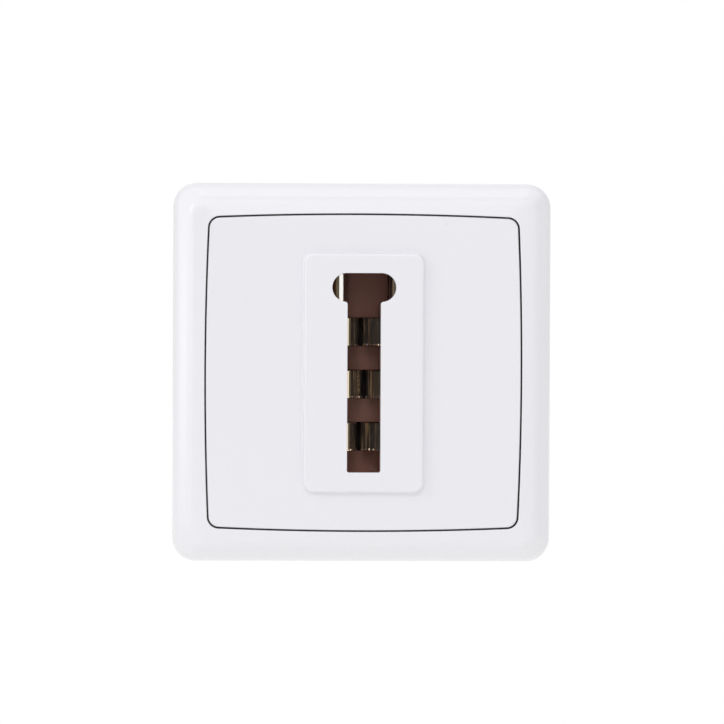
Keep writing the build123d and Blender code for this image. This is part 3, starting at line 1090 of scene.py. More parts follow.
@dataclass
class CoverFrame:
    """White outer frame: upright sides, bevel, sloping band, ledge for the plate and ribs behind."""

    half: float
    rim_height: float
    corner_radius: float = 5.1
    side_height: float = 3.2
    bevel_width: float = 3.4
    crease_height: float = 7.6
    crease_rounding: float = 3.0
    shoulder_rounding: float = 7.0
    foot_rounding: float = 0.25
    band: float = 6.5
    side_bow: float = 0.75
    opening_radius: float = 2.55
    mouth_rounding: float = 0.18
    wall: float = 1.8
    inner_radius: float = 3.4
    ceiling_corner: float = 1.0
    ledge_height: float = 5.9
    ledge_thickness: float = 1.5
    ledge_width: float = 1.8
    rim_wall: float = 1.5
    rib_thickness: float = 1.0
    rib_spacing: float = 18.0
    rib_count: int = 4
    rib_foot: float = 2.4
    rib_bite: float = 0.15

    @classmethod
    def fitted(cls) -> CoverFrame:
        """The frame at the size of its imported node."""
        low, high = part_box("cover_frame")
        return cls(half=(high.x - low.x) / 2 / MM, rim_height=-low.y / MM)

    @property
    def lean(self) -> float:
        """Angle of the bevel to the upright side."""
        return math.atan2(self.bevel_width, self.crease_height - self.side_height)

    @property
    def ceiling_height(self) -> float:
        """Height of the hollow under the crease."""
        return self.crease_height - self.wall

    @property
    def hollow_side(self) -> float:
        """Height at which the hollow starts to follow the bevel."""
        return self.side_height - self.wall * math.tan(self.lean / 2)

    @property
    def ceiling_inset(self) -> float:
        """Distance from the sides at which the hollow's slope meets its ceiling."""
        return self.wall + (self.ceiling_height - self.hollow_side) * math.tan(self.lean)

    def outline(self, inset: float) -> Outline:
        """Outline of the outer face at an inset from the sides, bowed more towards the opening.

        Args:
            inset: distance in from the sides.

        Returns:
            The outline.
        """
        share = min(max((inset - self.bevel_width) / (self.band - self.bevel_width), 0.0), 1.0)
        radius = self.corner_radius + (self.opening_radius - self.corner_radius) * inset / self.band
        half = self.half - inset
        return Outline(half, half, radius, self.side_bow * share)

    def barrel(self, inset: float) -> Outline:
        """Bowed outline of the opening, grown or shrunk to an inset."""
        half = self.half - inset
        return Outline(half, half, self.opening_radius + self.band - inset, self.side_bow)

    def square(self, inset: float, radius: float) -> Outline:
        """Straight-sided outline inside the hollow."""
        return Outline(self.half - inset, self.half - inset, radius)

    def ribs(self, finish: Finish) -> bpy.types.Object:
        """Ribs between the sides and the rim: a row along one side, repeated round all four.

        Args:
            finish: the finish that paints them.

        Returns:
            One mesh object of all the ribs.
        """
        tree = GeometryTree("frame_ribs")
        thickness, spacing = tree.sizes("Thickness", "Spacing")
        count = tree.entry("Count", "NodeSocketInt")
        face = tree.node("GeometryNodeFillCurve", {"mode": "NGONS"}, {"Curve": tree.host})["Mesh"]
        pulled = {"Mesh": face, "Offset Scale": thickness}
        sides = tree.node("GeometryNodeExtrudeMesh", {"mode": "FACES"}, pulled)["Mesh"]
        back = tree.node("GeometryNodeFlipFaces", sockets={"Mesh": face})["Mesh"]
        rib = tree.moved(tree.welded(sides, back), tree.vector(z=thickness * -0.5))
        start = tree.vector(z=spacing * (count - 1) * -0.5)
        row = {"Count": count, "Start Location": start, "Offset": tree.vector(z=spacing)}
        side = tree.spread(tree.node("GeometryNodeMeshLine", sockets=row)["Mesh"], rib)
        centre = tree.node("GeometryNodeMeshLine", sockets={"Count": FRAME_SIDES, "Offset": 0.0})["Mesh"]
        quarter = tree.node("GeometryNodeInputIndex")["Index"] * RIGHT_ANGLE
        tree.finish(tree.spread(centre, side, Rotation=tree.vector(y=quarter)))
        inner = self.half - self.band + self.rim_wall - self.rib_bite
        outer = self.half - self.wall + self.rib_bite
        top = self.ceiling_height + self.rib_bite
        section = [
            (inner, self.rib_foot),
            (outer, self.rib_foot),
            (outer, self.hollow_side),
            (self.half - self.ceiling_inset + self.rib_bite, top),
            (inner, top),
        ]
        places = [at(x, height, 0.0) for x, height in section]
        return tree.run(
            line_piece("frame_ribs", places, closed=True),
            finish,
            thickness=self.rib_thickness * MM,
            spacing=self.rib_spacing * MM,
            count=self.rib_count,
        )

    def build(self, finish: Finish) -> None:
        """Lofts the frame, adds its ribs and installs it.

        Args:
            finish: the finish that paints it.
        """
        shell = Shell()
        section = [
            Bend(self.foot_rounding, 0.0),
            Bend(0.0, self.foot_rounding),
            Bend(0.0, self.side_height, self.shoulder_rounding),
            Bend(self.bevel_width, self.crease_height, self.crease_rounding),
            Bend(self.band, self.rim_height, self.mouth_rounding),
            Bend(self.band, self.ledge_height),
        ]
        steps = [(self.outline(inset), height) for inset, height in rounded_section(section)]
        ledge = self.barrel(self.band + self.ledge_width)
        rim = self.barrel(self.band - self.rim_wall)
        hollow = self.square(self.wall, self.inner_radius)
        ledge_underside = self.ledge_height - self.ledge_thickness
        steps += [
            (ledge, self.ledge_height),
            (ledge, ledge_underside),
            (rim, ledge_underside),
            (rim, self.ceiling_height),
            (self.square(self.ceiling_inset, self.ceiling_corner), self.ceiling_height),
            (hollow, self.hollow_side),
            (hollow, 0.0),
        ]
        rings = [shell.ring(outline.points(), height) for outline, height in steps]
        shell.loft(rings + rings[:1])
        piece = merged(shell.piece("cover_frame_dressed"), self.ribs(finish))
        install(rounded_off(piece), finish, "cover_frame")


@dataclass
class PlugSlot:
    """T-shaped opening: two round lobes on the crossbar and a straight stem."""

    length: float = 42.4
    stem_width: float = 7.1
    crossbar_width: float = 13.6
    crossbar_height: float = 6.1
    throat_rounding: float = 0.6
    end_rounding: float = 0.4

    def points(self, grow: float = 0.0) -> list[Flat]:
        """Outline of the slot, grown all round, anticlockwise from the middle of its lower end.

        Args:
            grow: distance by which the outline is widened.

        Returns:
            Points once round.
        """
        lobe = self.crossbar_height / 2 + grow
        lobe_x = (self.crossbar_width - self.crossbar_height) / 2
        row = (self.length - self.crossbar_height) / 2
        stem = self.stem_width / 2 + grow
        foot = -self.length / 2 - grow
        end = self.end_rounding + grow
        throat = self.throat_rounding - grow
        throat_x = stem + throat
        throat_z = row - math.sqrt((lobe + throat) ** 2 - (throat_x - lobe_x) ** 2)
        meet = math.atan2(row - throat_z, lobe_x - throat_x)
        right = [(0.0, foot)]
        right += arc((stem - end, foot + end), end, -RIGHT_ANGLE, 0.0)
        right += arc((throat_x, throat_z), throat, math.pi, meet)
        right += arc((lobe_x, row), lobe, meet - math.pi, RIGHT_ANGLE)[1:]
        right += [(0.0, row + lobe)]
        return right + [(-x, z) for x, z in reversed(right[1:-1])]


@dataclass
class CentrePlate:
    """White plate: shallow dome, raised pad with the plug slot, skirt and snap legs."""

    half: float
    pad_height: float
    slot: PlugSlot
    side_bow: float = 0.75
    corner_radius: float = 2.2
    crown_height: float = 8.55
    dome_radius: float = 1500.0
    edge_rounding: float = 0.3
    thickness: float = 2.0
    skirt_thickness: float = 1.5
    skirt_foot: float = 5.9
    pad_half_x: float = 12.8
    pad_half_z: float = 25.45
    pad_corner_radius: float = 2.1
    pad_edge_rounding: float = 0.7
    pad_foot_rounding: float = 0.35
    pad_wall: float = 1.7
    pad_thickness: float = 2.0
    core_radius: float = 1.0
    slot_edge: float = 0.15
    dome_rings: int = 12
    snap_x: float = 23.0
    snap_z: float = 17.0
    snap_width: float = 5.0
    snap_thickness: float = 1.4
    snap_barb: float = 0.8
    snap_barb_height: float = 1.8
    snap_play: float = 0.2
    snap_root: float = 0.4

    @classmethod
    def fitted(cls, slot: PlugSlot) -> CentrePlate:
        """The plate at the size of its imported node."""
        low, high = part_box("centre_plate")
        return cls(half=(high.x - low.x) / 2 / MM, pad_height=-low.y / MM, slot=slot)

    @property
    def underside(self) -> float:
        """Height of the plate's rear face."""
        return self.crown_height - self.thickness

    @property
    def pad_underside(self) -> float:
        """Height of the pad's rear face."""
        return self.pad_height - self.pad_thickness

    def dome(self, x: float, z: float) -> float:
        """Height of the domed face at a place."""
        return self.crown_height - self.dome_radius + math.sqrt(self.dome_radius**2 - x**2 - z**2)

    def barrel(self, inset: float) -> Outline:
        """Bowed outline of the plate at a distance in from its edge."""
        half = self.half - inset
        return Outline(half, half, self.corner_radius, self.side_bow)

    def pad(self, grow: float) -> Outline:
        """Outline of the pad, grown all round."""
        radius = self.pad_corner_radius + grow
        return Outline(self.pad_half_x + grow, self.pad_half_z + grow, radius)

    def domed_ring(self, shell: Shell, points: Sequence[Flat], drop: float) -> Ring:
        """Ring that follows the domed face at a depth below it."""
        return [shell.shape.verts.new(at(x, self.dome(x, z) - drop, z)) for x, z in points]

    def front(self, shell: Shell) -> tuple[Ring, Ring]:
        """Lofts the visible face from the skirt's foot to the slot.

        Args:
            shell: the shell that is built.

        Returns:
            The first ring, at the skirt's foot, and the last, at the rear of the slot.
        """
        turn = quarter_turn(ARC_STEPS)
        edge, foot, lip = self.edge_rounding, self.pad_foot_rounding, self.pad_edge_rounding
        rings = [shell.ring(self.barrel(0.0).points(), self.skirt_foot)]
        for cosine, sine in turn:
            rounded = self.barrel(edge * (1 - cosine)).points()
            rings.append(self.domed_ring(shell, rounded, edge * (1 - sine)))
        pairs = list(zip(self.barrel(edge).points(), self.pad(foot).points()))
        for step in range(1, self.dome_rings + 1):
            share = step / self.dome_rings
            ring = [(a[0] + (b[0] - a[0]) * share, a[1] + (b[1] - a[1]) * share) for a, b in pairs]
            rings.append(self.domed_ring(shell, ring, 0.0))
        for cosine, sine in turn[1:]:
            hollowed = self.pad(foot * (1 - sine)).points()
            rings.append(self.domed_ring(shell, hollowed, -foot * (1 - cosine)))
        for cosine, sine in turn:
            height = self.pad_height - lip * (1 - sine)
            rings.append(shell.ring(self.pad(-lip * (1 - cosine)).points(), height))
        shell.loft(rings)
        mouth = []
        for cosine, sine in quarter_turn(ARC_STEPS // 2):
            height = self.pad_height - self.slot_edge * (1 - cosine)
            mouth.append(shell.ring(self.slot.points(self.slot_edge * (1 - sine)), height))
        mouth.append(shell.ring(self.slot.points(), self.pad_underside))
        shell.fill(rings[-1], mouth[0])
        shell.loft(mouth)
        return rings[0], mouth[-1]

    def legs(self, shell: Shell) -> None:
        """Adds the four snap legs behind the plate.

        Args:
            shell: the shell that is built.
        """
        inner = self.snap_x - self.snap_thickness / 2
        outer = self.snap_x + self.snap_thickness / 2
        root = self.underside + self.snap_root
        tip = -self.snap_play - self.snap_barb_height
        section = [
            (inner, root),
            (outer, root),
            (outer, -self.snap_play),
            (outer + self.snap_barb, -self.snap_play),
            (outer, tip),
            (inner, tip),
        ]
        for side in Side:
            for end in (-self.snap_z, self.snap_z):
                mirrored = [(side.value * x, height) for x, height in section]
                shell.prism(mirrored, end - self.snap_width / 2, end + self.snap_width / 2)

    def build(self, finish: Finish) -> None:
        """Lofts the plate with its hollow rear and snap legs, and installs it.

        Args:
            finish: the finish that paints it.
        """
        shell = Shell()
        foot, slot_rear = self.front(shell)
        core_half_x, core_half_z = self.pad_half_x - self.pad_wall, self.pad_half_z - self.pad_wall
        core = Outline(core_half_x, core_half_z, self.core_radius).points()
        skirt = self.barrel(self.skirt_thickness).points()
        rear = [
            shell.ring(core, self.pad_underside),
            shell.ring(core, self.underside),
            shell.ring(skirt, self.underside),
            shell.ring(skirt, self.skirt_foot),
        ]
        shell.fill(rear[0], slot_rear)
        shell.loft(rear + [foot])
        self.legs(shell)
        install(rounded_off(shell.piece("centre_plate_dressed")), finish, "centre_plate")


@dataclass
class CarriedPiece:
    """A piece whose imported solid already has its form: its edges are broken and it is painted."""

    node: str
    edge_width: float

    def build(self, finish: Finish) -> None:
        """Rounds a copy of the solid and installs it."""
        install(rounded_off(solid_copy(self.node), self.edge_width), finish, self.node)


@dataclass
class ContactSprings:
    """Eight strip springs, four down each side of the slot, swept along their bent paths."""

    crossbar_row: float = 18.15
    top_row_drop: float = 9.5
    row_pitch: float = 11.2
    stem_rows: int = 3
    spring_offset: float = 0.9
    strip_thickness: float = 0.4
    strip_width: float = 6.0
    strip_edge: float = 0.15
    strip_edge_steps: int = 3
    strip_bend: float = 0.3
    bend_steps: int = 12
    nose_height: float = 6.2
    nose_rounding: float = 1.05
    stem_leg: float = 5.6
    stem_nose: float = 3.4
    stem_gap: float = 0.45
    stem_gap_positions: Triple = (-0.3, 0.5, -0.7)
    crossbar_leg: float = 7.4
    crossbar_nose: float = 5.0
    crossbar_tips: Flat = (-2.9, 5.7)
    tip_height: float = 0.8
    tip_rounding: float = 1.0
    tail_reach: float = 1.8
    tail_drop: float = 3.6
    tab_height: float = -14.0
    tab_end: float = 14.8
    screw_x: float = 12.2
    hole_diameter: float = 3.4
    hole_sides: int = 28
    drill_reach: float = 4.0
    burrs: int = 5
    burr_span: Flat = (0.78, 0.90)
    burr_radius: float = 0.32
    burr_fineness: int = 2
    burr_scales: Flat = (0.5, 1.1)
    burr_lift: float = 0.3
    burr_drop: float = 0.455

    def rows(self) -> list[float]:
        """Distances up of the four rows, from the crossbar down."""
        first = self.crossbar_row - self.top_row_drop
        return [self.crossbar_row] + [first - self.row_pitch * step for step in range(self.stem_rows)]

    def bends(self, side: Side, row_index: int) -> list[Bend]:
        """Corners of one spring's front face, from the rear tab to the tail.

        Args:
            side: side of the slot.
            row_index: row, counted down from the crossbar.

        Returns:
            The corners, with the radius of each bend on the middle of the strip.
        """
        way = side.value
        if row_index == 0:
            leg, nose = self.crossbar_leg, self.crossbar_nose
            tip = self.crossbar_tips[0 if side is Side.LEFT else 1]
        else:
            leg, nose = self.stem_leg, self.stem_nose
            tip = self.stem_gap_positions[row_index - 1] + way * self.stem_gap / 2
        leg_x, nose_x = self.spring_offset + way * leg, self.spring_offset + way * nose
        half = self.strip_thickness / 2
        return [
            Bend(way * self.tab_end, self.tab_height),
            Bend(leg_x, self.tab_height, self.strip_bend + half),
            Bend(leg_x, self.nose_height, self.nose_rounding - half),
            Bend(nose_x, self.nose_height, self.nose_rounding - half),
            Bend(tip, self.tip_height, self.tip_rounding - half),
            Bend(tip + way * self.tail_reach, self.tip_height - self.tail_drop),
        ]

    def path(self, name: str, side: Side, row_index: int) -> bpy.types.Object:
        """Curve along the middle of one strip, whose point radii are the radii of its bends.

        Args:
            name: the object's name.
            side: side of the slot.
            row_index: row, counted down from the crossbar.

        Returns:
            The curve object.
        """
        bends = self.bends(side, row_index)
        corners = [(bend.along, bend.height) for bend in bends]
        line = shifted_line(corners, side.value * self.strip_thickness / 2)
        row = self.rows()[row_index]
        piece = line_piece(name, [at(x, height, row) for x, height in line])
        for point, bend in zip(piece.data.splines[0].points, bends):
            point.radius = bend.radius * MM
        return piece

    def tree(self) -> GeometryTree:
        """Tree that rounds a path, sweeps the strip along it, burrs its edge and drills the tab.

        Returns:
            The tree, which runs on a strip's path.
        """
        tree = GeometryTree("strip_spring")
        thickness, width, edge = tree.sizes("Thickness", "Width", "Edge")
        hole, burr = tree.sizes("Hole Diameter", "Burr")
        place = tree.entry("Hole Place", "NodeSocketVector")
        burred = tree.entry("Burred", "NodeSocketBool")
        seed = tree.entry("Seed", "NodeSocketInt")
        bend = tree.node("GeometryNodeInputRadius")["Radius"]
        path = tree.filleted(tree.host, self.bend_steps, bend)
        even = {"Curve": path, "Radius": 1.0}
        path = tree.node("GeometryNodeSetCurveRadius", sockets=even)["Curve"]
        upright = tree.node("GeometryNodeSetCurveNormal", {"mode": "Z_UP"}, {"Curve": path})["Curve"]
        sheet = {"Width": thickness, "Height": width}
        sheet = tree.node("GeometryNodeCurvePrimitiveQuadrilateral", sockets=sheet)["Curve"]
        strip = tree.swept(upright, tree.filleted(sheet, self.strip_edge_steps, edge))
        trim = {"Curve": path, "Start": self.burr_span[0], "End": self.burr_span[1]}
        slope = tree.node("GeometryNodeTrimCurve", {"mode": "FACTOR"}, trim)["Curve"]
        spots = {"Curve": slope, "Count": self.burrs}
        spots = tree.node("GeometryNodeCurveToPoints", {"mode": "COUNT"}, spots)["Points"]
        ball = {"Radius": burr, "Subdivisions": self.burr_fineness}
        ball = tree.node("GeometryNodeMeshIcoSphere", sockets=ball)["Mesh"]
        scale = tree.chance(self.burr_scales, seed)
        nibs = tree.spread(spots, ball, Selection=burred, Scale=scale)
        drop = tree.vector(y=thickness * -self.burr_lift, z=width * -self.burr_drop)
        nibs = tree.realised(tree.moved(nibs, drop))
        settings = {"operation": "UNION", "solver": "EXACT"}
        parts = {"Mesh 2": [strip, nibs], "Self Intersection": True}
        fused = tree.node("GeometryNodeMeshBoolean", settings, parts)["Mesh"]
        drill = tree.cylinder(self.hole_sides, hole * 0.5, thickness * self.drill_reach)
        tree.finish(tree.cut(fused, tree.moved(drill, place, (RIGHT_ANGLE, 0.0, 0.0))))
        return tree

    def build(self, finish: Finish) -> None:
        """Sweeps the eight springs and installs each in its node's place.

        Args:
            finish: the finish that paints them.
        """
        tree = self.tree()
        hole_height = self.tab_height - self.strip_thickness / 2
        number = 0
        for side in Side:
            for row_index, row in enumerate(self.rows()):
                number += 1
                strip = tree.run(
                    self.path(f"contact_{number}_strip", side, row_index),
                    finish,
                    thickness=self.strip_thickness * MM,
                    width=self.strip_width * MM,
                    edge=self.strip_edge * MM,
                    hole_diameter=self.hole_diameter * MM,
                    hole_place=at(side.value * self.screw_x, hole_height, row),
                    burr=self.burr_radius * MM,
                    burred=row_index > 0,
                    seed=number,
                )
                install(rounded_off(strip), finish, f"contact_{number}")


@dataclass
class Screws:
    """A set of slotted screws with rounded heads and cut threads."""

    node: str
    points: Sequence[Flat]
    seat: float
    facing: Facing
    head_diameter: float
    head_height: float
    diameter: float
    length: float
    pitch: float
    seed: int
    thread_depth: float = 0.28
    head_rounding: float = 0.45
    slot_width: float = 0.8
    slot_depth: float = 0.9
    blade_overhang: float = 1.2
    under_edge: float = 0.25
    bare_turns: float = 1.6
    tip_turns: float = 0.6
    rounds: int = 40
    turn_steps: int = 28
    ridge_sides: int = 4
    head_steps: int = 4

    def tree(self) -> GeometryTree:
        """Tree that makes one screw and sets a copy on each point, turned at random.

        Returns:
            The tree, which runs on the points of the seats.
        """
        tree = GeometryTree(f"{self.node}_tree")
        facing = tree.entry("Facing")
        seed = tree.entry("Seed", "NodeSocketInt")
        screw = tree.joined(self.head(tree), *self.shank(tree))
        stood = tree.spread(tree.host, screw, Rotation=tree.vector(x=facing * RIGHT_ANGLE))
        turn = tree.vector(z=tree.chance((0.0, math.pi), seed))
        spun = {"Instances": stood, "Rotation": turn, "Local Space": True}
        tree.finish(tree.node("GeometryNodeRotateInstances", sockets=spun)["Instances"])
        return tree

    def head(self, tree: GeometryTree) -> Term:
        """Rounded head above the seat, with the driver's slot cut across it.

        Args:
            tree: the screw's tree.

        Returns:
            The head's mesh.
        """
        width, height, rounding = tree.sizes("Head Diameter", "Head Height", "Head Rounding")
        slot_width, slot_depth = tree.sizes("Slot Width", "Slot Depth")
        radius = width * 0.5
        shoulder = height - rounding
        under = rounding * self.under_edge
        levels = [(radius - under, 0.0), (radius, under)]
        for cosine, sine in quarter_turn(self.head_steps):
            levels.append((radius - rounding * (1 - cosine), shoulder + rounding * sine))
        stages = [self.stage(tree, lower, upper) for lower, upper in zip(levels, levels[1:])]
        stages += [self.disc(tree, *levels[0]), self.disc(tree, *levels[-1])]
        blade = {"Size": tree.vector(width * self.blade_overhang, slot_width, slot_depth * 2.0)}
        blade = tree.node("GeometryNodeMeshCube", sockets=blade)["Mesh"]
        return tree.cut(tree.welded(*stages), tree.moved(blade, tree.vector(z=height)))

    def shank(self, tree: GeometryTree) -> tuple[Term, Term]:
        """Core below the seat, and the thread wound round it.

        Args:
            tree: the screw's tree.

        Returns:
            Both meshes.
        """
        diameter, length, pitch = tree.sizes("Diameter", "Length", "Pitch")
        depth = tree.entry("Thread Depth")
        core = diameter * 0.5 - depth
        rod = tree.moved(tree.cylinder(self.rounds, core, length), tree.vector(z=length * -0.5))
        wound = length - pitch * self.bare_turns
        winding = {
            "Resolution": self.turn_steps,
            "Rotations": wound / pitch,
            "Start Radius": core,
            "End Radius": core,
            "Height": wound,
        }
        helix = tree.node("GeometryNodeCurveSpiral", sockets=winding)["Curve"]
        ridge = {"Resolution": self.ridge_sides, "Radius": depth}
        ridge = tree.node("GeometryNodeCurvePrimitiveCircle", sockets=ridge)["Curve"]
        low = tree.vector(z=pitch * self.tip_turns - length)
        return rod, tree.moved(tree.swept(helix, ridge), low)

    def stage(
        self, tree: GeometryTree, lower: tuple[Term, object], upper: tuple[Term, object]
    ) -> Term:
        """Open band of the head between two levels, each a radius and a height.

        Args:
            tree: the screw's tree.
            lower: the level it starts at.
            upper: the level it ends at.

        Returns:
            The band's mesh.
        """
        sockets = {
            "Vertices": self.rounds,
            "Radius Top": upper[0],
            "Radius Bottom": lower[0],
            "Depth": upper[1] - lower[1],
        }
        band = tree.node("GeometryNodeMeshCone", {"fill_type": "NONE"}, sockets)["Mesh"]
        return tree.moved(band, tree.vector(z=lower[1]))

    def disc(self, tree: GeometryTree, radius: Term, height: object) -> Term:
        """Flat end of the head at a level.

        Args:
            tree: the screw's tree.
            radius: the level's radius.
            height: the level's height.

        Returns:
            The end's mesh.
        """
        sockets = {"Vertices": self.rounds, "Radius": radius}
        cap = tree.node("GeometryNodeMeshCircle", {"fill_type": "NGON"}, sockets)["Mesh"]
        return tree.moved(cap, tree.vector(z=height))

    def build(self, finish: Finish) -> None:
        """Makes the set and installs it.

        Args:
            finish: the finish that paints the set.
        """
        points = point_piece(f"{self.node}_dressed", self.points, self.seat)
        piece = self.tree().run(
            points,
            finish,
            head_diameter=self.head_diameter * MM,
            head_height=self.head_height * MM,
            head_rounding=self.head_rounding * MM,
            slot_width=self.slot_width * MM,
            slot_depth=self.slot_depth * MM,
            diameter=self.diameter * MM,
            length=self.length * MM,
            pitch=self.pitch * MM,
            thread_depth=self.thread_depth * MM,
            facing=float(self.facing.value),
            seed=self.seed,
        )
        install(rounded_off(outward(piece)), finish, self.node)


@dataclass
class SquarePlates:
    """A set of square plates with a round hole: clamping plates or nuts."""

    node: str
    points: Sequence[Flat]
    middle: float
    size: float
    thickness: float
    hole_diameter: float
    edge_width: float
    hole_sides: int = 36
    drill_reach: float = 3.0

    def tree(self) -> GeometryTree:
        """Tree that drills one square plate and sets a copy on each point.

        Returns:
            The tree, which runs on the middles of the plates.
        """
        tree = GeometryTree(f"{self.node}_tree")
        size, thickness, hole = tree.sizes("Size", "Thickness", "Hole Diameter")
        block = {"Size": tree.vector(size, thickness, size)}
        plate = tree.node("GeometryNodeMeshCube", sockets=block)["Mesh"]
        drill = tree.cylinder(self.hole_sides, hole * 0.5, thickness * self.drill_reach)
        drilled = tree.cut(plate, tree.moved(drill, 0.0, (RIGHT_ANGLE, 0.0, 0.0)))
        tree.finish(tree.spread(tree.host, drilled))
        return tree

    def build(self, finish: Finish) -> None:
        """Makes the set, rounds its edges and installs it.

        Args:
            finish: the finish that paints the set.
        """
        points = point_piece(f"{self.node}_dressed", self.points, self.middle)
        piece = self.tree().run(
            points,
            finish,
            size=self.size * MM,
            thickness=self.thickness * MM,
            hole_diameter=self.hole_diameter * MM,
        )
        install(rounded_off(piece, self.edge_width), finish, self.node)


@dataclass
class TerminalNumbers:
    """Raised numbers beside the terminals, moulded with the terminal block."""

    rows: Sequence[float]
    middle_x: float = 0.9
    reach: float = 2.3
    face_height: float = -14.0
    rise: float = 0.25
    sink: float = 0.1
    size: float = 3.0
    curve_steps: int = 4

    def build(self, finish: Finish) -> None:
        """Sets the eight numbers on the rear face, readable from behind.

        Args:
            finish: the finish that paints them.
        """
        face = Matrix(((-1, 0, 0), (0, 0, 1), (0, 1, 0))).transposed().to_4x4()
        height = self.face_height - (self.rise - self.sink) / 2
        pieces = []
        for side in Side:
            for row in self.rows:
                number = bpy.data.curves.new(f"number_{len(pieces) + 1}", "FONT")
                number.body = str(len(pieces) + 1)
                number.size = self.size * MM
                number.extrude = (self.rise + self.sink) / 2 * MM
                number.align_x = "CENTER"
                number.align_y = "CENTER"
                number.resolution_u = self.curve_steps
                piece = settled(new_piece(number.name, number))
                place = at(self.middle_x + side.value * self.reach, height, row)
                piece.data.transform(Matrix.Translation(place) @ face)
                pieces.append(piece)
        whole = merged(*pieces)
        whole.name = "terminal_numbers"
        install(rounded_off(whole), finish)


@dataclass(frozen=True)
class Lamp:
    """Soft rectangular lamp that faces the object, with its place and size in metres."""

    name: str
    place: Triple
    size: Flat
    watts: float
    colour: Triple = WHITE_LIGHT
    mirrored: bool = True

    def build(self) -> None:
        """Hangs the lamp, which shiny surfaces show only if it is mirrored."""
        light = bpy.data.lights.new(self.name, "AREA")
        light.shape = "RECTANGLE"
        light.size, light.size_y = self.size
        light.energy = self.watts
        light.color = self.colour
        lamp = new_piece(self.name, light)
        lamp.visible_glossy = self.mirrored
        lamp.location = self.place
        lamp.rotation_euler = (-Vector(self.place)).to_track_quat("-Z", "Y").to_euler()


